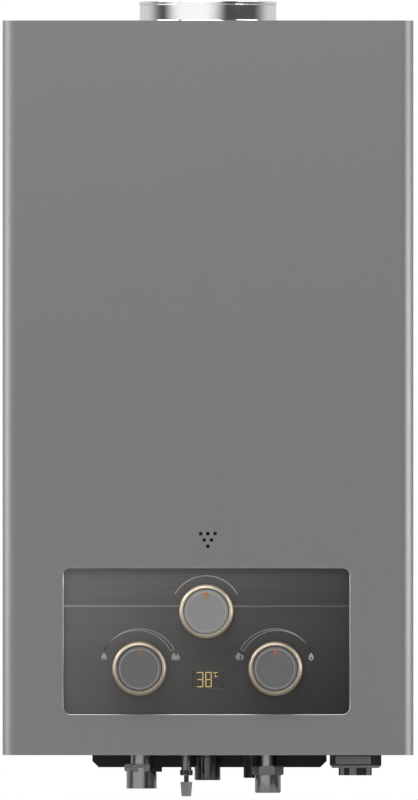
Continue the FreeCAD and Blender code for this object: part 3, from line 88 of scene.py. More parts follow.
softboxes = {   # place, target, width, height, watts
    "front_softbox": ((-0.25, -1.2, 1.5), (0, 0, 0.1), 1.8, 1.0, 30),
    "upper_left_softbox": ((-1.9, -0.6, 1.15), (0, -0.1, 0.9), 1.5, 0.9, 36),
    "upper_right_softbox": ((1.9, -0.7, 0.95), (0, -0.1, 0.8), 1.6, 0.5, 17),
    "left_softbox": ((-1.95, -0.5, -0.06), (0, -0.1, -0.06), 1.7, 0.28, 11),
    "right_softbox": ((1.9, -0.7, -0.06), (0, -0.1, -0.06), 1.9, 0.28, 18),
}
for name, (place, target, width, height, power) in softboxes.items():
    lamp = bpy.data.lights.new(name, "AREA")
    lamp.shape = "RECTANGLE"
    lamp.size = width
    lamp.size_y = height
    lamp.energy = power
    stand = bpy.data.objects.new(name, lamp)
    stand.location = place
    stand.rotation_euler = (Vector(target) - Vector(place)).to_track_quat("-Z", "Y").to_euler()
    bpy.context.scene.collection.objects.link(stand)


def add_node(tree, kind, inputs=None, **settings):
    """Adds a shader node. Each of its inputs is a value or the socket that feeds it."""
    node = tree.nodes.new("ShaderNode" + kind)
    for label, value in settings.items():
        setattr(node, label, value)
    for label, value in (inputs or {}).items():
        if isinstance(value, bpy.types.NodeSocket):
            tree.links.new(value, node.inputs[label])
        else:
            node.inputs[label].default_value = value
    return node


def maths(tree, operation, *inputs):
    return add_node(tree, "Math", dict(enumerate(inputs)), operation=operation).outputs[0]


def smooth_step(tree, value, low, high, top=1.0):
    """Soft step from 0 at the low value to its top at the high one."""
    return add_node(tree, "MapRange", {"Value": value, "From Min": low, "From Max": high, "To Max": top},
                    interpolation_type="SMOOTHSTEP").outputs["Result"]


def colour_mix(tree, factor, first, second):
    return add_node(tree, "Mix", {"Factor": factor, "A": first, "B": second},
                    data_type="RGBA").outputs["Result"]


def shader_mix(tree, factor, first, second):
    return add_node(tree, "MixShader", {0: factor, 1: first.outputs[0], 2: second.outputs[0]})


def grey(level):
    return (level, level, level, 1)


studio = bpy.data.worlds.new("studio")
studio.use_nodes = True
bpy.context.scene.world = studio
tree = studio.node_tree
tree.nodes.clear()
rays = add_node(tree, "LightPath").outputs
direction = add_node(tree, "TexCoord").outputs["Generated"]
axes = add_node(tree, "SeparateXYZ", {0: direction}).outputs
room = colour_mix(tree, smooth_step(tree, axes["Y"], -0.15, 0.62), grey(0.07), grey(0.65))
toward = add_node(tree, "VectorMath", {0: direction, 1: (-0.41, -0.91, 0.0)}, operation="DOT_PRODUCT")
tall = maths(tree, "MULTIPLY", axes["Z"], axes["Z"])
level = maths(tree, "MULTIPLY_ADD", tall, -4.8, toward.outputs["Value"])
pale_wall = smooth_step(tree, level, 0.52, 0.95)
overhead = smooth_step(tree, axes["Z"], 0.5, 0.95, 0.45)
lit_room = colour_mix(tree, maths(tree, "MAXIMUM", pale_wall, overhead), room, grey(1))
mirrored = maths(tree, "MAXIMUM", rays["Is Glossy Ray"], rays["Is Transmission Ray"])
with_mirrors = shader_mix(tree, mirrored, add_node(tree, "Background", {"Color": grey(0.15)}),
                          add_node(tree, "Background", {"Color": lit_room}))
with_camera = shader_mix(tree, rays["Is Camera Ray"], with_mirrors,
                         add_node(tree, "Background", {"Color": grey(1)}))
add_node(tree, "OutputWorld", {"Surface": with_camera.outputs[0]})

floor_drop = 42 * mm
floor_size = 1.7
bpy.ops.mesh.primitive_plane_add(size=floor_size, location=(0, 0, cad_box[0].z - floor_drop))
floor = bpy.context.active_object
floor.name = "studio_floor"
floor_paint = bpy.data.materials.new("floor_paint")
floor_paint.use_nodes = True
tree = floor_paint.node_tree
tree.nodes.clear()
seen = maths(tree, "MULTIPLY", add_node(tree, "LightPath").outputs["Is Camera Ray"], 0.98)
whitened = shader_mix(tree, seen, add_node(tree, "BsdfDiffuse", {"Color": grey(0.5)}),
                      add_node(tree, "Emission"))
one_sided = shader_mix(tree, add_node(tree, "NewGeometry").outputs["Backfacing"], whitened,
                       add_node(tree, "BsdfTransparent"))
add_node(tree, "OutputMaterial", {"Surface": one_sided.outputs[0]})
floor.data.materials.append(floor_paint)

# -------------------- wall plate
# Galvanised sheet that hangs on two keyholes and carries everything else. The zinc shows its
# crystals as a faint patchwork, and the cut edges are brighter than the faces.
def node_group(name, inputs, outputs):
    """Empty shader node group, with the sockets that its input node gives and its output node takes."""
    group = bpy.data.node_groups.new(name, "ShaderNodeTree")
    for label, kind, value in inputs:
        socket = group.interface.new_socket(name=label, in_out="INPUT", socket_type="NodeSocket" + kind)
        if value is not None:
            socket.default_value = value
    for label, kind in outputs:
        group.interface.new_socket(name=label, in_out="OUTPUT", socket_type="NodeSocket" + kind)
    return group, group.nodes.new("NodeGroupInput").outputs, group.nodes.new("NodeGroupOutput").inputs


grain_group, taken, given = node_group("grain", [
    ("Vector", "Vector", None), ("Per Metre", "Float", 900.0), ("Color", "Color", None),
    ("Spread", "Float", 0.1), ("Roughness", "Float", 0.5), ("Rough Spread", "Float", 0.1),
], [("Color", "Color"), ("Roughness", "Float"), ("Height", "Float")])
fine = add_node(grain_group, "TexNoise", {
    "Detail": 4, "Vector": taken["Vector"], "Scale": taken["Per Metre"]}).outputs["Fac"]
coarse = add_node(grain_group, "TexNoise", {
    "Detail": 2, "Vector": taken["Vector"],
    "Scale": maths(grain_group, "MULTIPLY", taken["Per Metre"], 0.06)}).outputs["Fac"]
swing = maths(grain_group, "SUBTRACT", maths(grain_group, "ADD", fine, coarse), 1.0)
tone = maths(grain_group, "MULTIPLY", swing, taken["Spread"])
shade = add_node(grain_group, "VectorMath", {
    0: taken["Color"], "Scale": maths(grain_group, "ADD", tone, 1.0)}, operation="SCALE")
rough_tone = maths(grain_group, "MULTIPLY", swing, taken["Rough Spread"])
grain_group.links.new(shade.outputs[0], given["Color"])
grain_group.links.new(maths(grain_group, "ADD", rough_tone, taken["Roughness"]), given["Roughness"])
grain_group.links.new(fine, given["Height"])

wear_group, taken, given = node_group("edge_wear", [
    ("Radius", "Float", 0.0006), ("Strength", "Float", 3.0)], [("Mask", "Float")])
rounded = add_node(wear_group, "Bevel", {"Radius": taken["Radius"]}, samples=4)
facing = add_node(wear_group, "NewGeometry")
likeness = add_node(wear_group, "VectorMath", {
    0: rounded.outputs["Normal"], 1: facing.outputs["Normal"]}, operation="DOT_PRODUCT")
turned_away = maths(wear_group, "SUBTRACT", 1.0, likeness.outputs["Value"])
wear = maths(wear_group, "MULTIPLY", turned_away, taken["Strength"])
wear_group.links.new(maths(wear_group, "MINIMUM", wear, 1.0), given["Mask"])


def grained(name, colour, roughness, metallic=0.0, per_metre=900.0, spread=0.1, rough_spread=0.1,
            stretch=(1, 1, 1), centre=(0, 0, 0), relief=0.02, worn=None, plain=None):
    """Finish whose colour, gloss and relief follow one grain, with worn edges where a colour is given."""
    made = bpy.data.materials.new(name)
    made.use_nodes = True
    tree = made.node_tree
    shader = tree.nodes["Principled BSDF"]
    mapping = add_node(tree, "Mapping", {
        "Vector": add_node(tree, "TexCoord").outputs["Object"], "Scale": stretch,
        "Location": [-c * s for c, s in zip(centre, stretch)]})
    grain = add_node(tree, "Group", {
        "Vector": mapping.outputs["Vector"], "Per Metre": per_metre, "Color": (*colour, 1),
        "Spread": spread, "Roughness": roughness, "Rough Spread": rough_spread,
    }, node_tree=grain_group, name="grain").outputs
    bump = add_node(tree, "Bump", {"Strength": 1.0, "Distance": relief * mm, "Height": grain["Height"]})
    base = grain["Color"]
    if worn:
        edges = add_node(tree, "Group", node_tree=wear_group)
        base = colour_mix(tree, edges.outputs["Mask"], base, (*worn, 1))
    tree.links.new(base, shader.inputs["Base Color"])
    tree.links.new(grain["Roughness"], shader.inputs["Roughness"])
    tree.links.new(bump.outputs["Normal"], shader.inputs["Normal"])
    shader.inputs["Metallic"].default_value = metallic
    for label, value in (plain or {}).items():
        shader.inputs[label].default_value = value
    return made


def dress(material, *nodes):
    """Gives carried-over pieces their finish."""
    for node in nodes:
        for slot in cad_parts[node].material_slots:
            slot.material = material


galvanised = grained("galvanised", (0.50, 0.51, 0.52), 0.38, 0.9, per_metre=260, spread=0.22,
                     rough_spread=0.3, relief=0.01, worn=(0.66, 0.67, 0.68))
tree = galvanised.node_tree
crystals = add_node(tree, "TexVoronoi", {
    "Scale": 140, "Vector": add_node(tree, "TexCoord").outputs["Object"]})
patch_tone = add_node(tree, "MapRange", {
    "Value": crystals.outputs["Color"], "To Min": 0.42, "To Max": 0.60})
tree.links.new(patch_tone.outputs["Result"], tree.nodes["grain"].inputs["Color"])
dress(galvanised, "back_plate", "valve_bracket")

# -------------------- combustion stack
# Copper chamber with a mica sight window, finned heat exchanger with its water tube and a folded
# hood above. Heat has darkened the copper in patches.
dress(grained("copper", (0.62, 0.29, 0.17), 0.33, 1.0, per_metre=500, spread=0.35, rough_spread=0.25,
              relief=0.01, worn=(0.78, 0.42, 0.27)), "combustion_chamber", "heat_exchanger_case",
      "heat_exchanger_fins", "heat_exchanger_tubes")
dress(grained("mica", (0.72, 0.66, 0.50), 0.18, per_metre=150, spread=0.5, rough_spread=0.2,
              stretch=(1, 1, 3), plain={"Alpha": 0.55}), "sight_window")
dress(galvanised, "flue_hood")
dress(grained("thermostat_steel", (0.55, 0.55, 0.54), 0.3, 1.0, per_metre=700), "overheat_thermostat")

# -------------------- burner
# Eleven hollow stainless bars in a folded frame, fed by brass nozzles on an aluminium rail, with a
# spark electrode on each side in a white steatite sleeve.
dress(grained("stainless", (0.56, 0.55, 0.53), 0.3, 1.0, per_metre=350, spread=0.12, rough_spread=0.2,
              stretch=(1, 12, 1), relief=0.008, worn=(0.7, 0.69, 0.67)), "burner_bars")
dress(galvanised, "burner_frame")
cast_aluminium = grained("cast_aluminium", (0.47, 0.47, 0.48), 0.52, 0.85, per_metre=1400, spread=0.16,
                         rough_spread=0.2, relief=0.05, worn=(0.66, 0.66, 0.67))
dress(cast_aluminium, "gas_manifold")
brass = grained("brass", (0.62, 0.45, 0.20), 0.3, 1.0, per_metre=800, spread=0.14,
                rough_spread=0.2, relief=0.01, worn=(0.78, 0.6, 0.3))
dress(brass, "gas_nozzles")
dress(grained("steatite", (0.80, 0.78, 0.73), 0.35, per_metre=1800, spread=0.06, plain={"Coat Weight": 0.4}),
      "burner_electrodes")

# -------------------- gas valve
# Die-cast aluminium body with the safety solenoid on its left end and the riser to the burner. The
# push rod from the water side lifts the disc against its spring, which shortens with the lift.
dress(cast_aluminium, "gas_valve_body")


def alone(piece):
    """Makes a piece the only selected and the active object."""
    bpy.ops.object.select_all(action="DESELECT")
    piece.select_set(True)
    bpy.context.view_layer.objects.active = piece


def edit_all():
    """Opens the active piece for editing, with everything selected."""
    bpy.ops.object.mode_set(mode="EDIT")
    bpy.ops.mesh.select_all(action="SELECT")


def apply_modifier(piece, kind, **settings):
    alone(piece)
    modifier = piece.modifiers.new(kind.lower(), kind)
    for label, value in settings.items():
        setattr(modifier, label, value)
    bpy.ops.object.modifier_apply(modifier=modifier.name)


def soften(piece, width, segments=2, limit=35):
    """Rounds the sharp edges of a piece and shades it smooth between them."""
    apply_modifier(piece, "BEVEL", width=width, segments=segments, limit_method="ANGLE",
                   angle_limit=math.radians(limit), miter_outer="MITER_ARC", use_clamp_overlap=True)
    alone(piece)
    bpy.ops.object.shade_smooth_by_angle(angle=math.radians(limit))
    apply_modifier(piece, "WEIGHTED_NORMAL", keep_sharp=True)


def settle(piece, body, slot, material, *nodes):
    """Gives a finished piece its material and its body, and hides the nodes that it stands for. The slot is
    not used.
    """
    piece.data.materials.clear()
    piece.data.materials.append(material)
    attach(piece, body)
    if nodes:
        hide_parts(*nodes)


def softened_copy(node, name, width, segments=2):
    """Copy of a carried-over piece with its facets joined and its edges rounded."""
    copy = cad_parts[node].copy()
    copy.data = copy.data.copy()
    copy.name = name
    copy.data.name = name
    copy.parent = None
    for label in list(copy.keys()):
        del copy[label]
    bpy.context.scene.collection.objects.link(copy)
    alone(copy)
    edit_all()
    bpy.ops.mesh.remove_doubles(threshold=1e-6)
    bpy.ops.mesh.dissolve_limited(angle_limit=math.radians(0.5))
    bpy.ops.mesh.customdata_custom_splitnormals_clear()
    bpy.ops.object.mode_set(mode="OBJECT")
    if width:
        soften(copy, width, segments)
    return copy


def box_of(node):
    """Low corner, high corner and middle of a carried-over piece."""
    low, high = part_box(node)
    return low, high, tuple((a + b) / 2 for a, b in zip(low, high))


dress(grained("riser_copper", (0.66, 0.32, 0.19), 0.28, 1.0, per_metre=420, spread=0.2, stretch=(1, 1, 4),
              relief=0.006), "gas_riser")
dress(grained("coil_tape", (0.022, 0.022, 0.024), 0.42, spread=0.2, stretch=(14, 1, 1)), "solenoid_coil")
ground_steel = grained("ground_steel", (0.60, 0.60, 0.60), 0.22, 1.0, per_metre=600, spread=0.08,
                       stretch=(20, 1, 1), relief=0.004)
dress(ground_steel, "solenoid_plunger", "linkage_rod")
spring_steel = grained("spring_steel", (0.42, 0.42, 0.43), 0.25, 1.0, per_metre=1200)
dress(spring_steel, "microswitch_lever", "battery_contacts")
valve_spring = softened_copy("gas_valve_spring", "valve_spring", 0)
bpy.ops.object.shade_smooth_by_angle(angle=math.radians(60))
settle(valve_spring, "chassis", "stainless", spring_steel, "gas_valve_spring")
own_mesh(valve_spring)
dress(grained("switch_plastic", (0.03, 0.03, 0.033), 0.5, per_metre=2200, spread=0.12,
              worn=(0.07, 0.07, 0.07)), "microswitch")
dress(grained("button_plastic", (0.42, 0.05, 0.04), 0.4, per_metre=2500, spread=0.08), "microswitch_button")

# -------------------- water valve
# Brass body and diaphragm cover with a rubber diaphragm clamped between them by six screws.
dress(brass, "water_valve_body", "diaphragm_cover")
dress(grained("rubber", (0.028, 0.028, 0.028), 0.7, per_metre=1500, spread=0.15, relief=0.03), "diaphragm",
      "relief_seal")

# -------------------- pipes
# Bent copper pipes between the valves and the exchanger, with brass union nuts.
dress(grained("pipe_copper", (0.66, 0.31, 0.18), 0.3, 1.0, per_metre=300, spread=0.25, rough_spread=0.2,
              stretch=(1, 1, 5), relief=0.006), "cold_pipe", "hot_pipe")
dress(brass, "union_nuts")

# -------------------- igniter
# Black potted spark box on the wall plate and its silicone lead to the left electrode.
dress(grained("potting", (0.024, 0.024, 0.026), 0.45, per_metre=1600, spread=0.15, relief=0.03,
              worn=(0.06, 0.06, 0.06)), "igniter_box")
dress(grained("lead_rubber", (0.33, 0.04, 0.03), 0.55, per_metre=1500, spread=0.12, relief=0.01),
      "ignition_lead")

# -------------------- end plates and flue spigot
# Galvanised plates close the chassis above and below. The spigot is a rolled aluminium ring with a
# flange on the top plate and a hemmed rim, polished by the rollers round and round.
dress(galvanised, "top_plate", "base_plate")


def take(name):
    """Names the primitive that was just added and moves its place and size into its mesh."""
    piece = bpy.context.active_object
    piece.name = name
    piece.data.name = name
    bpy.ops.object.transform_apply(location=True, rotation=True, scale=True)
    return piece


def start_line(name, place):
    """Single point in edit mode, from which a line is drawn."""
    bpy.ops.mesh.primitive_plane_add(size=mm, location=place)
    piece = take(name)
    bpy.ops.object.mode_set(mode="EDIT")
    bpy.ops.mesh.merge(type="CENTER")
    bpy.ops.mesh.select_mode(type="VERT")
    bpy.ops.mesh.select_all(action="SELECT")
    return piece


def draw_out(step):
    bpy.ops.mesh.extrude_region_move(TRANSFORM_OT_translate={"value": step})


def spin_round(steps, angle, centre, axis, weld):
    """Spins the drawn line and welds the points that meet."""
    bpy.ops.mesh.select_all(action="SELECT")
    bpy.ops.mesh.spin(steps=steps, angle=angle, center=centre, axis=axis)
    bpy.ops.mesh.select_all(action="SELECT")
    bpy.ops.mesh.remove_doubles(threshold=weld)


def face_outwards():
    """Turns all faces outwards and leaves edit mode."""
    bpy.ops.mesh.select_all(action="SELECT")
    bpy.ops.mesh.normals_make_consistent(inside=False)
    bpy.ops.object.mode_set(mode="OBJECT")


def turned(name, centre, axis, profile, steps=96):
    """Piece turned about an axis: a point is drawn out along (radius, height) steps and spun."""
    points = [Vector(centre) + Vector((radius, 0, 0)) + Vector(axis) * height for radius, height in profile]
    piece = start_line(name, points[0])
    for start, end in zip(points, points[1:]):
        draw_out(end - start)
    spin_round(steps, 2 * math.pi, centre, axis, 1e-6)
    face_outwards()
    return piece


spigot_low, spigot_high, spigot_middle = box_of("flue_collar")
spigot_centre = (0, spigot_middle[1], spigot_low.z)
flange_r = (spigot_high.x - spigot_low.x) / 2
spigot_r = flange_r - 8 * mm
spigot_h = spigot_high.z - spigot_low.z
hem = 2.8 * mm
rolled = 0.4 * mm
sheet = 1.0 * mm
spigot = turned("flue_spigot", spigot_centre, (0, 0, 1), [
    (spigot_r - sheet, 0), (flange_r, 0), (flange_r, sheet), (spigot_r + rolled, sheet),
    (spigot_r, 2 * sheet), (spigot_r, spigot_h - hem), (spigot_r + rolled, spigot_h - hem + rolled),
    (spigot_r + rolled, spigot_h - rolled), (spigot_r, spigot_h), (spigot_r - sheet, spigot_h),
    (spigot_r - sheet - rolled, spigot_h - rolled), (spigot_r - sheet - rolled, spigot_h - hem + rolled),
    (spigot_r - sheet, spigot_h - hem), (spigot_r - sheet, 0)], steps=160)
soften(spigot, 0.2 * mm)
settle(spigot, "chassis", "flue_metal",
       grained("rolled_aluminium", (0.93, 0.93, 0.94), 0.10, 1.0, per_metre=300, spread=0.05,
               rough_spread=0.04, stretch=(1, 1, 14), relief=0.002), "flue_collar")

# -------------------- hot outlet and its swivel nut
# Plated outlet block. The nut turns on its tail: a duller forged hexagon with turned-off corners
# above a round skirt, threaded inside for the hot hose.
plated = grained("plated", (0.27, 0.27, 0.273), 0.11, 1.0, spread=0.12, rough_spread=0.12,
                 relief=0.004, worn=(0.3, 0.3, 0.31))
dress(plated, "hot_outlet_block")
thread_pitch = 1.814 * mm
thread_depth = 0.12 * mm


def rod(name, radius, start, end, vertices=48, end_radius=None):
    """Cylinder or cone primitive between two points."""
    axis = Vector(end) - Vector(start)
    turn = axis.to_track_quat("Z", "Y").to_euler()
    bpy.ops.mesh.primitive_cone_add(vertices=vertices, radius1=radius, depth=axis.length,
                                    radius2=radius if end_radius is None else end_radius,
                                    location=(Vector(start) + Vector(end)) / 2, rotation=turn)
    return take(name)


def upright(name, radius, centre, low, high, vertices=48, end_radius=None):
    """Rod about a vertical axis."""
    return rod(name, radius, (*centre, low), (*centre, high), vertices, end_radius)


def combine(piece, other, operation="DIFFERENCE"):
    """Cuts, joins or intersects a piece with another, which is used up."""
    apply_modifier(piece, "BOOLEAN", operation=operation, solver="EXACT", object=other)
    bpy.data.objects.remove(other)


def thread_ridge(centre, radius, low, high):
    """Helical ridge with a diamond section that is half sunk into a round wall."""
    half = 0.45 * thread_pitch
    start = (*centre, low + half)
    bpy.ops.mesh.primitive_circle_add(vertices=4, radius=thread_depth, location=start,
                                      rotation=(math.pi / 2, 0, 0))
    ridge = bpy.context.active_object
    bpy.ops.object.transform_apply(location=False, rotation=True, scale=True)
    edit_all()
    bpy.ops.transform.resize(value=(1, 1, half / thread_depth), center_override=start)
    bpy.ops.transform.translate(value=(radius, 0, 0))
    bpy.ops.object.mode_set(mode="OBJECT")
    turns = int((high - low) / thread_pitch) - 1
    apply_modifier(ridge, "SCREW", axis="Z", angle=2 * math.pi, screw_offset=thread_pitch,
                   iterations=turns, steps=40, render_steps=40)
    bpy.ops.object.transform_apply(location=True, rotation=True, scale=True)
    edit_all()
    bpy.ops.mesh.fill_holes(sides=4)
    face_outwards()
    bpy.ops.object.shade_smooth_by_angle(angle=math.radians(35))
    return ridge


def join(piece, *others):
    """Makes several meshes one object under the first one's name."""
    alone(piece)
    for other in others:
        other.select_set(True)
    bpy.ops.object.join()


def hexagon(name, across_flats, centre, low, high, turn, chamfer):
    """Hexagon bar about a vertical axis whose corners are turned off at both ends."""
    bar = upright(name, across_flats / math.sqrt(3), centre, low, high, 6)
    edit_all()
    bpy.ops.transform.rotate(value=math.radians(30 - turn), orient_axis="Z", center_override=(*centre, low))
    bpy.ops.object.mode_set(mode="OBJECT")
    rim = across_flats / 2
    turning = turned("turning", (*centre, low), (0, 0, 1), [
        (0, 0), (rim, 0), (rim + chamfer * 2, chamfer), (rim + chamfer * 2, high - low - chamfer),
        (rim, high - low), (0, high - low)], steps=72)
    combine(bar, turning, "INTERSECT")
    return bar


def tint_faces(piece, material, test):
    """Gives some faces of a settled piece a second finish."""
    piece.data.materials.append(material)
    for face in piece.data.polygons:
        if test(face):
            face.material_index = len(piece.data.materials) - 1


nut_low, nut_high, nut_middle = box_of("hot_outlet_nut")
nut_centre = nut_middle[:2]
nut_af = 24 * mm
nut_skirt_r = 12.2 * mm
nut_hex_h = 6.4 * mm
outlet_thread_r = 10.48 * mm
nut_thread_h = 13.2 * mm
nut_neck_r = 8.93 * mm
nut_turn = -2
nut = hexagon("swivel_nut", nut_af, nut_centre, nut_high.z - nut_hex_h, nut_high.z, nut_turn, 1.1 * mm)
combine(nut, upright("skirt", nut_skirt_r, nut_centre, nut_low.z, nut_high.z - nut_hex_h / 2, 72), "UNION")
combine(nut, upright("socket", outlet_thread_r, nut_centre, nut_low.z - mm, nut_low.z + nut_thread_h, 72))
combine(nut, upright("bore", nut_neck_r, nut_centre, nut_low.z + mm, nut_high.z + mm, 64))
combine(nut, upright("mouth", outlet_thread_r + 0.5 * mm, nut_centre, nut_low.z - 0.1 * mm,
                     nut_low.z + 1.5 * mm, 64, outlet_thread_r - 1.1 * mm))
soften(nut, 0.35 * mm, segments=3, limit=50)
join(nut, thread_ridge(nut_centre, outlet_thread_r, nut_low.z + 1.5 * mm, nut_low.z + nut_thread_h))
settle(nut, "outlet_nut", "zinc", plated, "hot_outlet_nut")
forged = grained("forged", (0.15, 0.15, 0.152), 0.22, 1.0, spread=0.14, rough_spread=0.15,
                 relief=0.006, worn=(0.3, 0.3, 0.31))
tint_faces(nut, forged, lambda face: face.center.z > nut_high.z - nut_hex_h + 0.1 * mm)

# -------------------- relief guide and thumb screw
# Dark sleeve and black collar round the relief screw's guide. The screw has a ribbed, tapered zinc
# grip, and its stem is coloured black as painted shade over the thread. It is unscrewed by hand to
# let the water out before frost.
thumb_low, thumb_high, thumb_middle = box_of("relief_screw")
relief_centre = thumb_middle[:2]
guide_r = 4.0 * mm
guide_top = -292.0 * mm
collar_r = 5.1 * mm
collar_low = -311.6 * mm
collar_h = 4.2 * mm
collar_bore = 2.1 * mm
cladding = 0.08 * mm
sleeve_h = guide_top - collar_low - collar_h
sleeve = turned("relief_sleeve", (*relief_centre, collar_low + collar_h), (0, 0, 1), [
    (guide_r, 0), (guide_r + cladding, 0), (guide_r + cladding, sleeve_h), (guide_r, sleeve_h),
    (guide_r, 0)], steps=48)
soften(sleeve, 0.02 * mm)
settle(sleeve, "chassis", "zinc",
       grained("sleeve_nickel", (0.17, 0.17, 0.17), 0.18, 1.0, per_metre=700, stretch=(1, 1, 6),
               relief=0.004))
collar = turned("relief_collar", (*relief_centre, collar_low - cladding), (0, 0, 1), [
    (collar_bore, 0), (collar_r - 0.5 * mm, 0), (collar_r + cladding, 0.6 * mm),
    (collar_r + cladding, collar_h), (guide_r + 0.3 * mm, collar_h + 2 * cladding),
    (guide_r + cladding, collar_h + 2 * cladding), (guide_r + cladding, collar_h - 0.5 * mm),
    (collar_r - 0.4 * mm, collar_h - 0.5 * mm), (collar_r - 0.4 * mm, cladding),
    (collar_bore, cladding), (collar_bore, 0)], steps=48)
soften(collar, 0.03 * mm)
black_plastic = grained("black_plastic", (0.016, 0.016, 0.017), 0.36, per_metre=2600, spread=0.25,
                        rough_spread=0.15, worn=(0.05, 0.05, 0.05))
settle(collar, "chassis", "black_plastic", black_plastic)


def reshape(piece, *steps):
    """Applies edit-mode operators, each to the vertices, edges or faces that pass its test."""
    alone(piece)
    bpy.ops.object.mode_set(mode="EDIT")
    for kind, test, operator, settings in steps:
        bpy.ops.mesh.select_mode(type=kind)
        bpy.ops.mesh.select_all(action="DESELECT")
        mesh = bmesh.from_edit_mesh(piece.data)
        for part in {"VERT": mesh.verts, "EDGE": mesh.edges, "FACE": mesh.faces}[kind]:
            if test(part):
                part.select_set(True)
        bmesh.update_edit_mesh(piece.data)
        operator(**settings)
    bpy.ops.object.mode_set(mode="OBJECT")


grip_low_r = 3.55 * mm
grip_top_r = 4.55 * mm
grip_h = 11.5 * mm
stem_r = 1.95 * mm
rib_out = 0.3 * mm
grip = upright("thumb_screw", grip_low_r, relief_centre, thumb_low.z, thumb_low.z + grip_h, 20, grip_top_r)
reshape(grip,
        ("FACE", lambda face: abs(face.normal.z) < 0.5,
         bpy.ops.mesh.inset, dict(thickness=0.2 * mm, depth=rib_out, use_individual=True)),
        ("FACE", lambda face: face.normal.z < -0.9,
         bpy.ops.mesh.inset, dict(thickness=1.2 * mm, depth=-0.5 * mm)))
combine(grip, upright("stem", stem_r, relief_centre, thumb_low.z + grip_h - mm, thumb_high.z, 24), "UNION")
soften(grip, 0.12 * mm)
settle(grip, "relief_thumbscrew", "zinc",
       grained("grip_zinc", (0.27, 0.27, 0.272), 0.4, 1.0, per_metre=1500, spread=0.2, rough_spread=0.2,
               worn=(0.5, 0.5, 0.5)), "relief_screw")
# The stem is coloured black: painted shade over its thread.
tint_faces(grip, black_plastic, lambda face: face.center.z > thumb_low.z + grip_h + 0.1 * mm)

# -------------------- gas and cold water inlets
# Half-inch male nipples below the base plate, whose fine threads look smooth. The gas nipple is
# blackened, with a flange on the valve's foot. The water nipple is plated, with a forged hexagon.
half_inch_r = 10.48 * mm
gas_low, gas_high, gas_middle = box_of("gas_inlet_nipple")
gas_thread_h = 18.5 * mm
gas_neck_r = 8 * mm
gas_flange_r = 12 * mm
gas_flange_h = 3 * mm
gas_bore_r = 6.5 * mm
gas_h = gas_high.z - gas_low.z
gas_inlet = turned("gas_inlet", (*gas_middle[:2], gas_low.z), (0, 0, 1), [
    (gas_bore_r, 0.5 * mm), (gas_bore_r + 0.5 * mm, 0), (half_inch_r - 0.6 * mm, 0), (half_inch_r, mm),
    (half_inch_r, gas_thread_h - 0.4 * mm), (half_inch_r - 0.4 * mm, gas_thread_h),
    (gas_neck_r, gas_thread_h), (gas_neck_r, gas_h - gas_flange_h), (gas_flange_r, gas_h - gas_flange_h),
    (gas_flange_r, gas_h), (gas_bore_r, gas_h), (gas_bore_r, 0.5 * mm)], steps=72)
soften(gas_inlet, 0.15 * mm)
settle(gas_inlet, "chassis", "dark_zinc",
       grained("blackened", (0.10, 0.10, 0.102), 0.14, 0.9, spread=0.2, rough_spread=0.15, relief=0.006,
               worn=(0.12, 0.12, 0.12)), "gas_inlet_nipple")

cold_low, cold_high, cold_middle = box_of("cold_inlet_nipple")
cold_centre = cold_middle[:2]
cold_thread_h = 14 * mm
cold_af = 22 * mm
cold_hex_h = 7.8 * mm
cold_turn = -5
cold_neck_r = 7 * mm
cold_bore_r = 5.2 * mm
cold_h = cold_high.z - cold_low.z
cold_hex_low = cold_low.z + cold_thread_h
cold_hex_high = cold_hex_low + cold_hex_h
cold_inlet = turned("cold_inlet", (*cold_centre, cold_low.z), (0, 0, 1), [
    (0, 0), (half_inch_r - 0.6 * mm, 0), (half_inch_r, mm), (half_inch_r, cold_thread_h + mm),
    (cold_neck_r, cold_thread_h + cold_hex_h - mm), (cold_neck_r, cold_h), (0, cold_h)], steps=72)
combine(cold_inlet, hexagon("cold_hex", cold_af, cold_centre, cold_hex_low, cold_hex_high, cold_turn,
                            0.9 * mm), "UNION")
combine(cold_inlet, upright("bore", cold_bore_r, cold_centre, cold_low.z - mm, cold_high.z + mm))
soften(cold_inlet, 0.2 * mm, limit=40)
settle(cold_inlet, "chassis", "zinc", plated, "cold_inlet_nipple")
tint_faces(cold_inlet, forged, lambda face: cold_hex_low + 0.1 * mm < face.center.z < cold_hex_high)

# -------------------- drain cap
# Moulded black cap over the water filter, with raised ribs for the fingers whose outer faces are painted a
# little paler as painted highlights.
drain_low, drain_high, drain_middle = box_of("drain_cap")
drain_x, drain_y = drain_middle[:2]
drain_rib = 0.7 * mm
drain_ribs = 14
drain_r = (drain_high.x - drain_low.x) / 2 - 2 * drain_rib
drain = upright("ribbed_drain_cap", drain_r, (drain_x, drain_y), drain_low.z, drain_high.z, 2 * drain_ribs)


def on_rib(face):
    """Every second side face of the cap."""
    centre = face.calc_center_median()
    place = math.atan2(centre.y - drain_y, centre.x - drain_x) / (math.pi / drain_ribs)
    return abs(face.normal.z) < 0.5 and int(math.floor(place + 100)) % 2 == 0


reshape(drain,
        ("FACE", on_rib,
         bpy.ops.mesh.inset, dict(thickness=0.25 * mm, depth=1.6 * drain_rib, use_individual=True)),
        ("FACE", lambda face: face.normal.z < -0.9,
         bpy.ops.mesh.inset, dict(thickness=1.6 * mm, depth=-0.8 * mm)))
soften(drain, 0.15 * mm)
settle(drain, "chassis", "black_plastic", black_plastic, "drain_cap")
# The outer faces of the ribs are painted paler: painted highlights.
tint_faces(drain,
           grained("drain_rib_painted_highlight", (0.05, 0.05, 0.052), 0.3, per_metre=2600, spread=0.2, rough_spread=0.15,
                   worn=(0.08, 0.08, 0.08)),
           lambda face: math.hypot(face.center.x - drain_x, face.center.y - drain_y) > drain_r + drain_rib)

# -------------------- air intake tray
# Black sheet tray below the base plate with slanted ends and slots for the burner's air.
tray = softened_copy("intake_guard", "intake_tray", 0.4 * mm)
settle(tray, "chassis", "black_plastic",
       grained("tray_black", (0.009, 0.009, 0.010), 0.42, per_metre=1600, spread=0.3, rough_spread=0.2,
               relief=0.03, worn=(0.04, 0.04, 0.04), plain={"Specular IOR Level": 0.3}), "intake_guard")
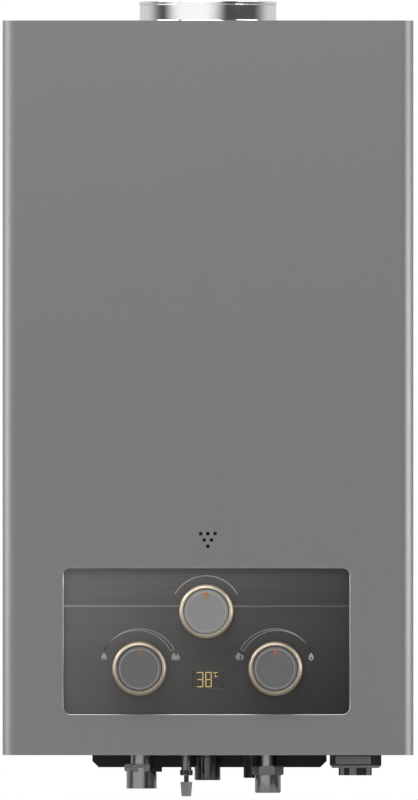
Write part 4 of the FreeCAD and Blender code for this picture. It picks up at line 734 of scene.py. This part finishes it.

# -------------------- battery case
# Black moulded case for two D cells that is let into the base plate, with a hinged lid below. A raised
# pad and the lid's ribbed grip are in front, their front faces in a lighter grey that is painted
# highlight, and the cells stand on the lid under a contact strip.
def block(name, low, high):
    """Box primitive between two corners."""
    size = Vector(high) - Vector(low)
    bpy.ops.mesh.primitive_cube_add(size=1, location=(Vector(low) + Vector(high)) / 2, scale=size)
    return take(name)


lid_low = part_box("battery_lid")[0]
case = softened_copy("battery_box", "battery_case", 0.5 * mm, 3)
pad_left = 102.5 * mm
pad_right = 130.8 * mm
pad_out = 0.4 * mm
pad = block("pad", (pad_left, lid_low.y - pad_out, -302.4 * mm), (pad_right, lid_low.y + mm, -296 * mm))
combine(case, pad, "UNION")
case_black = grained("case_black", (0.010, 0.010, 0.011), 0.4, per_metre=2600, spread=0.2,
                     rough_spread=0.15, relief=0.03, worn=(0.05, 0.05, 0.05),
                     plain={"Specular IOR Level": 0.35})
settle(case, "chassis", "black_plastic", case_black, "battery_box")
painted_highlight_grey = grained("painted_highlight_grey", (0.19, 0.19, 0.192), 0.45, per_metre=2600, spread=0.15,
                       rough_spread=0.15, worn=(0.12, 0.12, 0.12))
# The pad's front faces are painted lighter grey: a painted highlight.
tint_faces(case, painted_highlight_grey, lambda face: face.center.y < lid_low.y - 0.1 * mm
           and pad_left - 0.1 * mm < face.center.x < pad_right + 0.1 * mm and face.normal.y < -0.3)

lid = softened_copy("battery_lid", "battery_lid_shell", 0)
grip_z = -305.4 * mm
grooves = ((104.0, 106.4), (109.2, 113.6), (119.2, 127.2), (130.6, 133.0))
for groove_left, groove_right in grooves:
    combine(lid, block("groove", (groove_left * mm, lid_low.y - mm, lid_low.z - mm),
                       (groove_right * mm, lid_low.y + 0.9 * mm, grip_z)))
soften(lid, 0.3 * mm)
settle(lid, "lid", "black_plastic", case_black, "battery_lid")
# The grip's rib fronts are painted lighter grey: painted highlights.
tint_faces(lid, painted_highlight_grey, lambda face: face.center.y < lid_low.y + 0.4 * mm
           and face.center.z < grip_z and face.normal.y < -0.3)
dress(grained("jacket", (0.035, 0.09, 0.2), 0.28, per_metre=700, relief=0.004, plain={"Coat Weight": 0.5}),
      "battery_cells")

# -------------------- front cover
# One sheet folded into front, sides and lips, sprayed with satin grey paint. The upright edges are
# rolled round a wide radius, the others are sharp folds, and a pressed frame holds the panel. The
# rounded edge of that frame is painted lighter and more metallic, as a painted highlight.
def middle(edge):
    return (edge.verts[0].co + edge.verts[1].co) / 2


def runs_along(edge, axis):
    """True for an edge parallel to one axis (0 is X, 1 is Y, 2 is Z)."""
    run = edge.verts[1].co - edge.verts[0].co
    return abs(abs(run[axis]) - run.length) < 1e-7


fold_r = 10 * mm
sharp_fold = 0.7 * mm
cover_sheet = 0.8 * mm
lip = 14 * mm
face_y = cover_low.y
cover = block("cover_shell", cover_low, cover_high)
reshape(cover,
        ("EDGE", lambda edge: runs_along(edge, 2) and middle(edge).y < face_y + mm,
         bpy.ops.mesh.bevel, dict(offset=fold_r, segments=14, affect="EDGES")),
        ("FACE", lambda face: face.normal.y > 0.9, bpy.ops.mesh.delete, dict(type="FACE")),
        ("EDGE", lambda edge: runs_along(edge, 0) and middle(edge).y < face_y + mm,
         bpy.ops.mesh.bevel, dict(offset=sharp_fold, segments=3, affect="EDGES")),
        ("FACE", lambda face: abs(face.normal.z) > 0.95,
         bpy.ops.mesh.bisect, dict(plane_co=(0, face_y + lip, 0), plane_no=(0, 1, 0))),
        ("FACE", lambda face: abs(face.normal.z) > 0.95 and face.calc_center_median().y > face_y + lip,
         bpy.ops.mesh.delete, dict(type="FACE")))
apply_modifier(cover, "SOLIDIFY", thickness=cover_sheet, offset=-1, use_even_offset=True)


def rounded_slab(name, centre_x, centre_z, width, height, corner, front, back):
    """Slab in the plane of the cover with round corners."""
    slab = block(name, (centre_x - width / 2, front, centre_z - height / 2),
                 (centre_x + width / 2, back, centre_z + height / 2))
    reshape(slab, ("EDGE", lambda edge: runs_along(edge, 1),
                   bpy.ops.mesh.bevel, dict(offset=corner, segments=10, affect="EDGES")))
    return slab


panel_x = -1.2 * mm
panel_z = -203.6 * mm
panel_w = 229.4 * mm
panel_h = 116.8 * mm
panel_corner = 5.5 * mm
recess = 3.5 * mm
pressed_round = 0.9 * mm
pressed_frame = rounded_slab("pressed_frame", panel_x, panel_z, panel_w + 2 * cover_sheet,
                             panel_h + 2 * cover_sheet, panel_corner + cover_sheet,
                             face_y + 0.2 * mm, face_y + recess)
combine(cover, pressed_frame, "UNION")
combine(cover, rounded_slab("opening", panel_x, panel_z, panel_w, panel_h, panel_corner,
                            face_y - mm, face_y + recess + mm))


def around_panel(point, reach):
    """True inside the panel opening, widened by a reach."""
    return abs(point.x - panel_x) < panel_w / 2 + reach and abs(point.z - panel_z) < panel_h / 2 + reach


reshape(cover, ("EDGE", lambda edge: all(abs(vert.co.y - face_y) < 1e-6 and around_panel(vert.co, 1e-5)
                                         for vert in edge.verts),
                bpy.ops.mesh.bevel, dict(offset=pressed_round, segments=3, affect="EDGES")))
view_hole_r = 1.5 * mm
view_x = -0.1 * mm
view_top = -117.1 * mm
view_pitch = 5.8 * mm
view_row = 5.05 * mm
view_rows = 3
for row in range(view_rows):
    for place in range(view_rows - row):
        hole_x = view_x + (place - (view_rows - 1 - row) / 2) * view_pitch
        hole_z = view_top - row * view_row
        combine(cover, rod("view_hole", view_hole_r, (hole_x, face_y - mm, hole_z),
                           (hole_x, face_y + 2 * mm, hole_z), 32))
screw_x = 150 * mm
screw_y = face_y + 8 * mm
screw_head_r = 4 * mm
screw_shank_r = 1.9 * mm
screw_sink = 0.2 * mm
screw_seats = [(Vector((side * screw_x, screw_y, edge_z)), Vector((0, 0, inward)))
               for side in (-1, 1) for edge_z, inward in ((cover_low.z, 1), (cover_high.z, -1))]
for seat, axis in screw_seats:
    combine(cover, rod("countersink", screw_head_r + screw_sink, seat, seat + axis * (2.1 * mm), 40,
                       screw_shank_r + screw_sink))
soften(cover, 0.22 * mm, limit=40)
settle(cover, "chassis", "casing_paint",
       grained("casing_paint", (0.235, 0.231, 0.225), 0.42, 0.6, per_metre=2400, spread=0.05,
               rough_spread=0.08, relief=0.004, worn=(0.26, 0.255, 0.25)), "front_cover")
# The rounded edge of the pressed frame is painted lighter and more metallic: a painted highlight.
tint_faces(cover,
           grained("frame_edge_painted_highlight", (0.38, 0.37, 0.36), 0.3, 0.85, per_metre=1200, relief=0.003),
           lambda face: face_y + 0.03 * mm < face.center.y < face_y + pressed_round
           and around_panel(face.center, 1.1 * pressed_round))

# -------------------- machine screws
# Countersunk cross-head screws in the cover's lips and pan-head screws round the water valve's
# diaphragm, all in bright plated steel.
def machine_screw(name, top, axis, head_r, head_h, under_r, shank_start, length, cross):
    """Screw with a cross recess; cross is its half width and depth."""
    screw = rod(name, head_r, top, top + axis * head_h, 40, under_r)
    shank = rod("shank", screw_shank_r, top + axis * shank_start, top + axis * length, 24)
    combine(screw, shank, "UNION")
    across = [way for way in (Vector((1, 0, 0)), Vector((0, 1, 0)), Vector((0, 0, 1)))
              if abs(way.dot(axis)) < 0.5]
    reach, depth = cross
    for wide, narrow in (across, across[::-1]):
        half = wide * reach + narrow * reach * 0.22 + Vector([abs(c) for c in axis]) * depth
        combine(screw, block("slot", top - half, top + half))
    return screw


screws = [machine_screw("cover_screw", seat, axis, screw_head_r, screw_head_r - screw_shank_r,
                        screw_shank_r, 1.9 * mm, 9 * mm, (2.3 * mm, 1.2 * mm))
          for seat, axis in screw_seats]
housing_low, _, housing_middle = box_of("diaphragm_cover")
housing_pitch_r = 30.5 * mm
housing_screws = 6
pan_r = 3.4 * mm
pan_h = 2.6 * mm
for index in range(housing_screws):
    angle = 2 * math.pi * (index + 0.5) / housing_screws
    top = Vector((housing_low.x - pan_h, housing_middle[1] + housing_pitch_r * math.cos(angle),
                  housing_middle[2] + housing_pitch_r * math.sin(angle)))
    screws.append(machine_screw("housing_screw", top, Vector((1, 0, 0)), pan_r, pan_h, pan_r,
                                pan_h - mm, pan_h + 20 * mm, (2.2 * mm, 1.3 * mm)))
machine_screws = screws[0]
join(*screws)
machine_screws.name = "machine_screws"
soften(machine_screws, 0.12 * mm)
settle(machine_screws, "chassis", "stainless",
       grained("screw_steel", (0.50, 0.50, 0.51), 0.3, 1.0, per_metre=1500, spread=0.12, relief=0.005,
               worn=(0.7, 0.7, 0.7)), "screws")

# -------------------- control panel
# Thin aluminium plate behind the cover's frame, brushed from side to side and tinted dark, with a
# painted reflection that makes it lighter at its upper left and darker towards its lower right. Its
# lower field stands proud behind a bevelled step.
panel_thick = 1.2 * mm
panel_front = face_y + recess
step_z = -174.6 * mm
step_proud = 0.6 * mm
step_bevel = 2.4 * mm
margin = 5 * mm
field_gap = 0.1 * mm
knob_hole_r = 3.8 * mm
knob_sites = {"selector": (-1.5 * mm, -179.7 * mm), "flame": (-55.1 * mm, -225.5 * mm),
              "water": (54.0 * mm, -225.5 * mm)}
panel = rounded_slab("panel_plate", panel_x, panel_z, panel_w + 2 * margin, panel_h + 2 * margin,
                     panel_corner + margin, panel_front, panel_front + panel_thick)
field_low = panel_z - panel_h / 2 + field_gap
field = block("field", (panel_x - panel_w / 2 + field_gap, panel_front - step_proud, field_low),
              (panel_x + panel_w / 2 - field_gap, panel_front + panel_thick / 2, step_z + 0.8 * step_bevel))
reshape(field,
        ("EDGE", lambda edge: runs_along(edge, 1) and middle(edge).z < field_low + mm,
         bpy.ops.mesh.bevel, dict(offset=panel_corner, segments=10, affect="EDGES")),
        ("VERT", lambda vert: vert.co.z > step_z - mm and vert.co.y < panel_front,
         bpy.ops.transform.translate, dict(value=(0, 0, -1.45 * step_bevel))))
combine(panel, field, "UNION")
window_x = 0.2 * mm
window_z = -234.3 * mm
window_w = 26.0 * mm
window_h = 14.1 * mm
combine(panel, block("window", (window_x - window_w / 2, panel_front - 2 * mm, window_z - window_h / 2),
                     (window_x + window_w / 2, panel_front + 3 * mm, window_z + window_h / 2)))
for site_x, site_z in knob_sites.values():
    combine(panel, rod("hole", knob_hole_r, (site_x, panel_front - 3 * mm, site_z),
                       (site_x, panel_front + 3 * mm, site_z), 40))
soften(panel, 0.12 * mm, limit=10)
panel_dark = grained("panel_dark", (0.10, 0.098, 0.095), 0.36, 0.55, per_metre=1100, spread=0.35,
                     rough_spread=0.2, stretch=(0.02, 1, 1), centre=(panel_x, 0, panel_z), relief=0.004,
                     worn=(0.24, 0.24, 0.235))
tree = panel_dark.node_tree
axes = add_node(tree, "SeparateXYZ", {0: add_node(tree, "TexCoord").outputs["Object"]}).outputs
painted_reflection_fade_x = add_node(tree, "MapRange", {
    "Value": axes["X"], "From Min": panel_x - panel_w / 2, "From Max": panel_x + panel_w / 2})
painted_reflection_fade_z = add_node(tree, "MapRange", {
    "Value": axes["Z"], "From Min": panel_z + panel_h / 2, "From Max": panel_z - panel_h / 2})
# Painted reflection: the base colour is lighter at the upper left and darker towards the lower right, as a
# broad light from the upper left would show on the brushed plate.
upper = colour_mix(tree, painted_reflection_fade_x.outputs["Result"], (0.166, 0.163, 0.158, 1), (0.055, 0.0545, 0.0535, 1))
lower = colour_mix(tree, painted_reflection_fade_x.outputs["Result"], (0.103, 0.102, 0.100, 1), grey(0.021))
tree.links.new(colour_mix(tree, painted_reflection_fade_z.outputs["Result"], upper, lower), tree.nodes["grain"].inputs["Color"])
settle(panel, "chassis", "panel_dark", panel_dark, "control_panel")

# -------------------- printed marks
# Pale grey screen print on the panel: an arc over the selector, a tapering crescent over each lower
# knob, a small and a large flame on the left and a large and a small drop on the right.
ink = 0.05 * mm
print_front = panel_front - step_proud - ink
marks = []


def arc_mark(centre_x, centre_z, radius, width, start, end, front=print_front):
    """Printed arc; angles are degrees from straight up, clockwise."""
    way = Vector((math.sin(math.radians(start)), 0, math.cos(math.radians(start))))
    centre = Vector((centre_x, front, centre_z))
    mark = start_line("arc_mark", centre + way * (radius - width / 2))
    draw_out(way * width)
    spin_round(max(2, int((end - start) / 2)), math.radians(end - start), centre, (0, -1, 0), 1e-7)
    draw_out((0, ink, 0))
    face_outwards()
    marks.append(mark)


def crescent(knob, side):
    """Two thin arcs that meet at the small sign and stand apart at the large one."""
    site_x, site_z = knob_sites[knob]
    outer_r = 31.9 * mm
    inner_r = 30.08 * mm
    shift_x = 1.76 * mm
    shift_z = 0.58 * mm
    line = 0.45 * mm
    wide_end = 60.5
    cap_inner = 28.8 * mm
    spans = [(-63.0, wide_end), (-62.5, 63.1), (wide_end - 0.4, wide_end + 0.4)]
    if side < 0:
        spans = [(-end, -start) for start, end in spans]
    arc_mark(site_x, site_z, outer_r, line, *spans[0])
    arc_mark(site_x - side * shift_x, site_z + shift_z, inner_r, line, *spans[1])
    arc_mark(site_x, site_z, (outer_r + cap_inner) / 2, outer_r - cap_inner, *spans[2])


arc_mark(*knob_sites["selector"], 28.7 * mm, 0.7 * mm, -60, 60, panel_front - ink)
crescent("flame", 1)
crescent("water", -1)


def drop(centre_x, centre_z, width, height, front=print_front, depth=ink):
    """Printed drop: a disc whose top point is drawn up to a tip."""
    radius = width / 2
    disc_z = centre_z - height / 2 + radius
    bpy.ops.mesh.primitive_circle_add(vertices=32, radius=radius, fill_type="NGON",
                                      location=(centre_x, front, disc_z), rotation=(math.pi / 2, 0, 0))
    mark = take("drop_mark")
    reshape(mark, ("VERT", lambda vert: vert.co.z > disc_z + radius * 0.999, bpy.ops.transform.translate,
                   dict(value=(0, 0, height - width), use_proportional_edit=True,
                        proportional_edit_falloff="SHARP", proportional_size=width * 0.8)))
    edit_all()
    draw_out((0, depth, 0))
    face_outwards()
    return mark


def hollow_drop(centre_x, centre_z, width, height, inner_z, inner_w, inner_h):
    """Drop or flame with a smaller one left unprinted inside it."""
    mark = drop(centre_x, centre_z, width, height)
    combine(mark, drop(centre_x, inner_z, inner_w, inner_h, print_front - ink, 3 * ink))
    marks.append(mark)


sign_z = -215.8 * mm
hollow_drop(-83.6 * mm, sign_z, 4.2 * mm, 6.2 * mm, sign_z - 2.6 * mm, 2.0 * mm, 4.6 * mm)
hollow_drop(-27.4 * mm, sign_z, 3.8 * mm, 6.6 * mm, sign_z - 2.9 * mm, 1.5 * mm, 3.4 * mm)
hollow_drop(-24.3 * mm, sign_z - 0.3 * mm, 3.2 * mm, 5.8 * mm, sign_z - 2.6 * mm, 1.5 * mm, 4.0 * mm)
marks.append(drop(24.4 * mm, sign_z + 0.3 * mm, 4.4 * mm, 6.2 * mm))
marks.append(drop(27.0 * mm, sign_z - 0.5 * mm, 3.2 * mm, 4.4 * mm))
hollow_drop(82.8 * mm, sign_z, 4.2 * mm, 6.2 * mm, sign_z - 1.2 * mm, 1.4 * mm, 2.2 * mm)
panel_marks = marks[0]
join(*marks)
panel_marks.name = "panel_marks"
settle(panel_marks, "chassis", "panel_dark",
       grained("print_ink", (0.33, 0.335, 0.34), 0.5, per_metre=3500, spread=0.12, relief=0.004))

# -------------------- display
# Smoked clear lens in the panel's window over a two-digit amber module with a small degree sign,
# soldered to a green board on four posts.
dress(grained("smoked", (0.30, 0.28, 0.25), 0.06, spread=0.03, rough_spread=0.04, relief=0.001,
              plain={"Transmission Weight": 0.96, "IOR": 1.49}), "display_lens")
dress(grained("board_green", (0.02, 0.10, 0.045), 0.35, per_metre=420, spread=0.5, relief=0.03),
      "display_board")
digit_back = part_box("display_lens")[1].y + 0.04 * mm
digit_thick = 0.03 * mm
stroke = 0.6 * mm
bar_gap = 0.12 * mm
lit = []
segments_on = {"3": "abgcd", "8": "abcdefg"}


def segment(left, right, low, high):
    lit.append(block("segment", (left, digit_back - digit_thick, low), (right, digit_back, high)))


def digit(shape, left, low, width, height):
    """Seven-segment figure made of thin lit bars."""
    right = left + width
    top = low + height
    half_way = low + height / 2
    across = (left + bar_gap, right - bar_gap)
    upper_half = (half_way + bar_gap, top - stroke - bar_gap)
    lower_half = (low + stroke + bar_gap, half_way - bar_gap)
    bars = {
        "a": (*across, top - stroke, top),
        "b": (right - stroke, right, *upper_half),
        "c": (right - stroke, right, *lower_half),
        "d": (*across, low, low + stroke),
        "e": (left, left + stroke, *lower_half),
        "f": (left, left + stroke, *upper_half),
        "g": (across[0] + stroke, across[1] - stroke, half_way - stroke / 2, half_way + stroke / 2),
    }
    for name in segments_on[shape]:
        segment(*bars[name])


digit_low = -240.4 * mm
digit_h = 12.1 * mm
digit("3", -9.1 * mm, digit_low, 5.3 * mm, digit_h)
digit("8", -2.05 * mm, digit_low, 4.9 * mm, digit_h)
degree_x = 4.7 * mm
degree_z = -228.8 * mm
degree_r = 0.6 * mm
degree_bore = 0.35 * mm
lit.append(turned("degree", (degree_x, digit_back, degree_z), (0, -1, 0), [
    (degree_bore, 0), (degree_r, 0), (degree_r, digit_thick), (degree_bore, digit_thick),
    (degree_bore, 0)], steps=20))
unit_stroke = 0.4 * mm
unit_left = 5.7 * mm
unit_right = 7.9 * mm
unit_low = -232.2 * mm
segment(unit_left, unit_right, degree_z, degree_z + unit_stroke)
segment(unit_left, unit_right, unit_low, unit_low + unit_stroke)
segment(unit_left, unit_left + unit_stroke, unit_low, degree_z)
digits = lit[0]
join(*lit)
digits.name = "display_digits"
settle(digits, "chassis", "circuit_board",
       grained("amber", (0.8, 0.45, 0.08), 0.5, per_metre=3000, relief=0.0,
               plain={"Emission Color": (1.0, 0.80, 0.30, 1), "Emission Strength": 2.6}))

# -------------------- knobs
# Three alike: a moulded grey cap with a bevelled rim, a wide bronze-plated ring pressed over it, an
# orange pointer let into the face and a steel spindle with one flat.
bezel_inner_r = 18.25 * mm
bezel_outer_r = 22 * mm
bezel_bevel = 3 * mm
cap_sink = 0.35 * mm
cap_r = 18 * mm
cap_wall = 2 * mm
cap_round = 0.4 * mm
rim_w = 2.1 * mm
rim_step = 0.15 * mm
hub_r = 6.5 * mm
spindle_reach = 5 * mm
spindle_r = 3.02 * mm
pointer_w = 5.1 * mm
pointer_h = 6.6 * mm
pointer_r = pointer_w / math.sqrt(3)
pointer_sink = 0.4 * mm
line_r = 15.9 * mm
line_w = 0.4 * mm
line_sink = 0.1 * mm


def knob(name, body, face_colour, bezel_colour, pointer_colour):
    site_x, site_z = knob_sites[name]
    low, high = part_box(name + "_knob_bezel")
    site = (site_x, low.y, site_z)
    depth = high.y - low.y
    cap = turned(name + "_cap", site, (0, 1, 0), [
        (0, cap_sink), (cap_r - rim_w, cap_sink), (cap_r - rim_w + rim_step, cap_sink + rim_step),
        (cap_r - cap_round, cap_sink + rim_step + 0.1 * mm), (cap_r, cap_sink + rim_step + 0.5 * mm),
        (cap_r, depth), (cap_r - cap_wall, depth), (cap_r - cap_wall, cap_sink + cap_wall),
        (hub_r, cap_sink + cap_wall), (hub_r, depth), (spindle_r, depth),
        (spindle_r, cap_sink + spindle_reach), (0, cap_sink + spindle_reach)], steps=128)
    soften(cap, 0.12 * mm, segments=3, limit=20)
    settle(cap, body, "knob_grey",
           grained(name + "_satin", face_colour, 0.42, 0.25, per_metre=1800, spread=0.06, centre=site,
                   relief=0.006, worn=[min(1, c * 1.7) for c in face_colour]), name + "_knob_cap")
    # A low ridge on the cap's rim step, coloured paler than the cap as a painted highlight of that edge.
    line = turned(name + "_painted_highlight_ring", (site_x, low.y + cap_sink, site_z), (0, 1, 0), [
        (line_r - line_w, line_sink), (line_r - line_w, 0), (line_r - line_w / 2, -0.06 * mm), (line_r, 0),
        (line_r, line_sink), (line_r - line_w, line_sink)])
    bpy.context.view_layer.objects.active = line
    bpy.ops.object.shade_smooth_by_angle(angle=math.radians(60))
    settle(line, body, "knob_bezel",
           grained(name + "_highlight_ring_paint", (0.42, 0.41, 0.39), 0.45, 0.5, per_metre=2500, spread=0.08))
    bezel = turned(name + "_bezel", site, (0, 1, 0), [
        (bezel_inner_r, 0.6 * mm), (bezel_inner_r + 0.3 * mm, 0.15 * mm), (bezel_inner_r + 0.6 * mm, 0),
        (bezel_inner_r + 1.3 * mm, 0.15 * mm), (bezel_inner_r + 2.2 * mm, 0.65 * mm),
        (bezel_inner_r + 3.0 * mm, 1.5 * mm), (bezel_outer_r - 0.2 * mm, bezel_bevel - 0.5 * mm),
        (bezel_outer_r, bezel_bevel + 0.5 * mm), (bezel_outer_r, depth - 0.4 * mm),
        (bezel_outer_r - 0.4 * mm, depth), (bezel_inner_r, depth), (bezel_inner_r, 0.6 * mm)], steps=160)
    soften(bezel, 0.1 * mm, limit=36)
    settle(bezel, body, "knob_bezel",
           grained(name + "_plating", bezel_colour, 0.46, 1.0, spread=0.08, rough_spread=0.12, centre=site,
                   relief=0.004, worn=[min(1, c * 1.35) for c in bezel_colour]), name + "_knob_bezel")
    top = site_z + cap_r - rim_w - 0.2 * mm
    pointer = rod(name + "_pointer", pointer_r, (site_x, low.y + cap_sink - 0.12 * mm, top + pointer_r / 2),
                  (site_x, low.y + cap_sink + pointer_sink, top + pointer_r / 2), 3)
    edit_all()
    bpy.ops.transform.resize(value=(1, 1, -pointer_h / (1.5 * pointer_r)),
                             center_override=(site_x, low.y, top))
    face_outwards()
    soften(pointer, 0.06 * mm)
    settle(pointer, body, "knob_bezel",
           grained(name + "_enamel", pointer_colour, 0.4, per_metre=2500, relief=0.003))


bronze = (0.37, 0.317, 0.25)
knob("selector", "selector_knob", (0.25, 0.25, 0.252), (0.42, 0.37, 0.292), (0.34, 0.17, 0.08))
knob("flame", "flame_knob", (0.128, 0.128, 0.131), bronze, (0.22, 0.11, 0.07))
knob("water", "water_knob", (0.130, 0.130, 0.133), bronze, (0.27, 0.11, 0.07))
dress(ground_steel, "selector_spindle", "flame_spindle", "water_spindle")
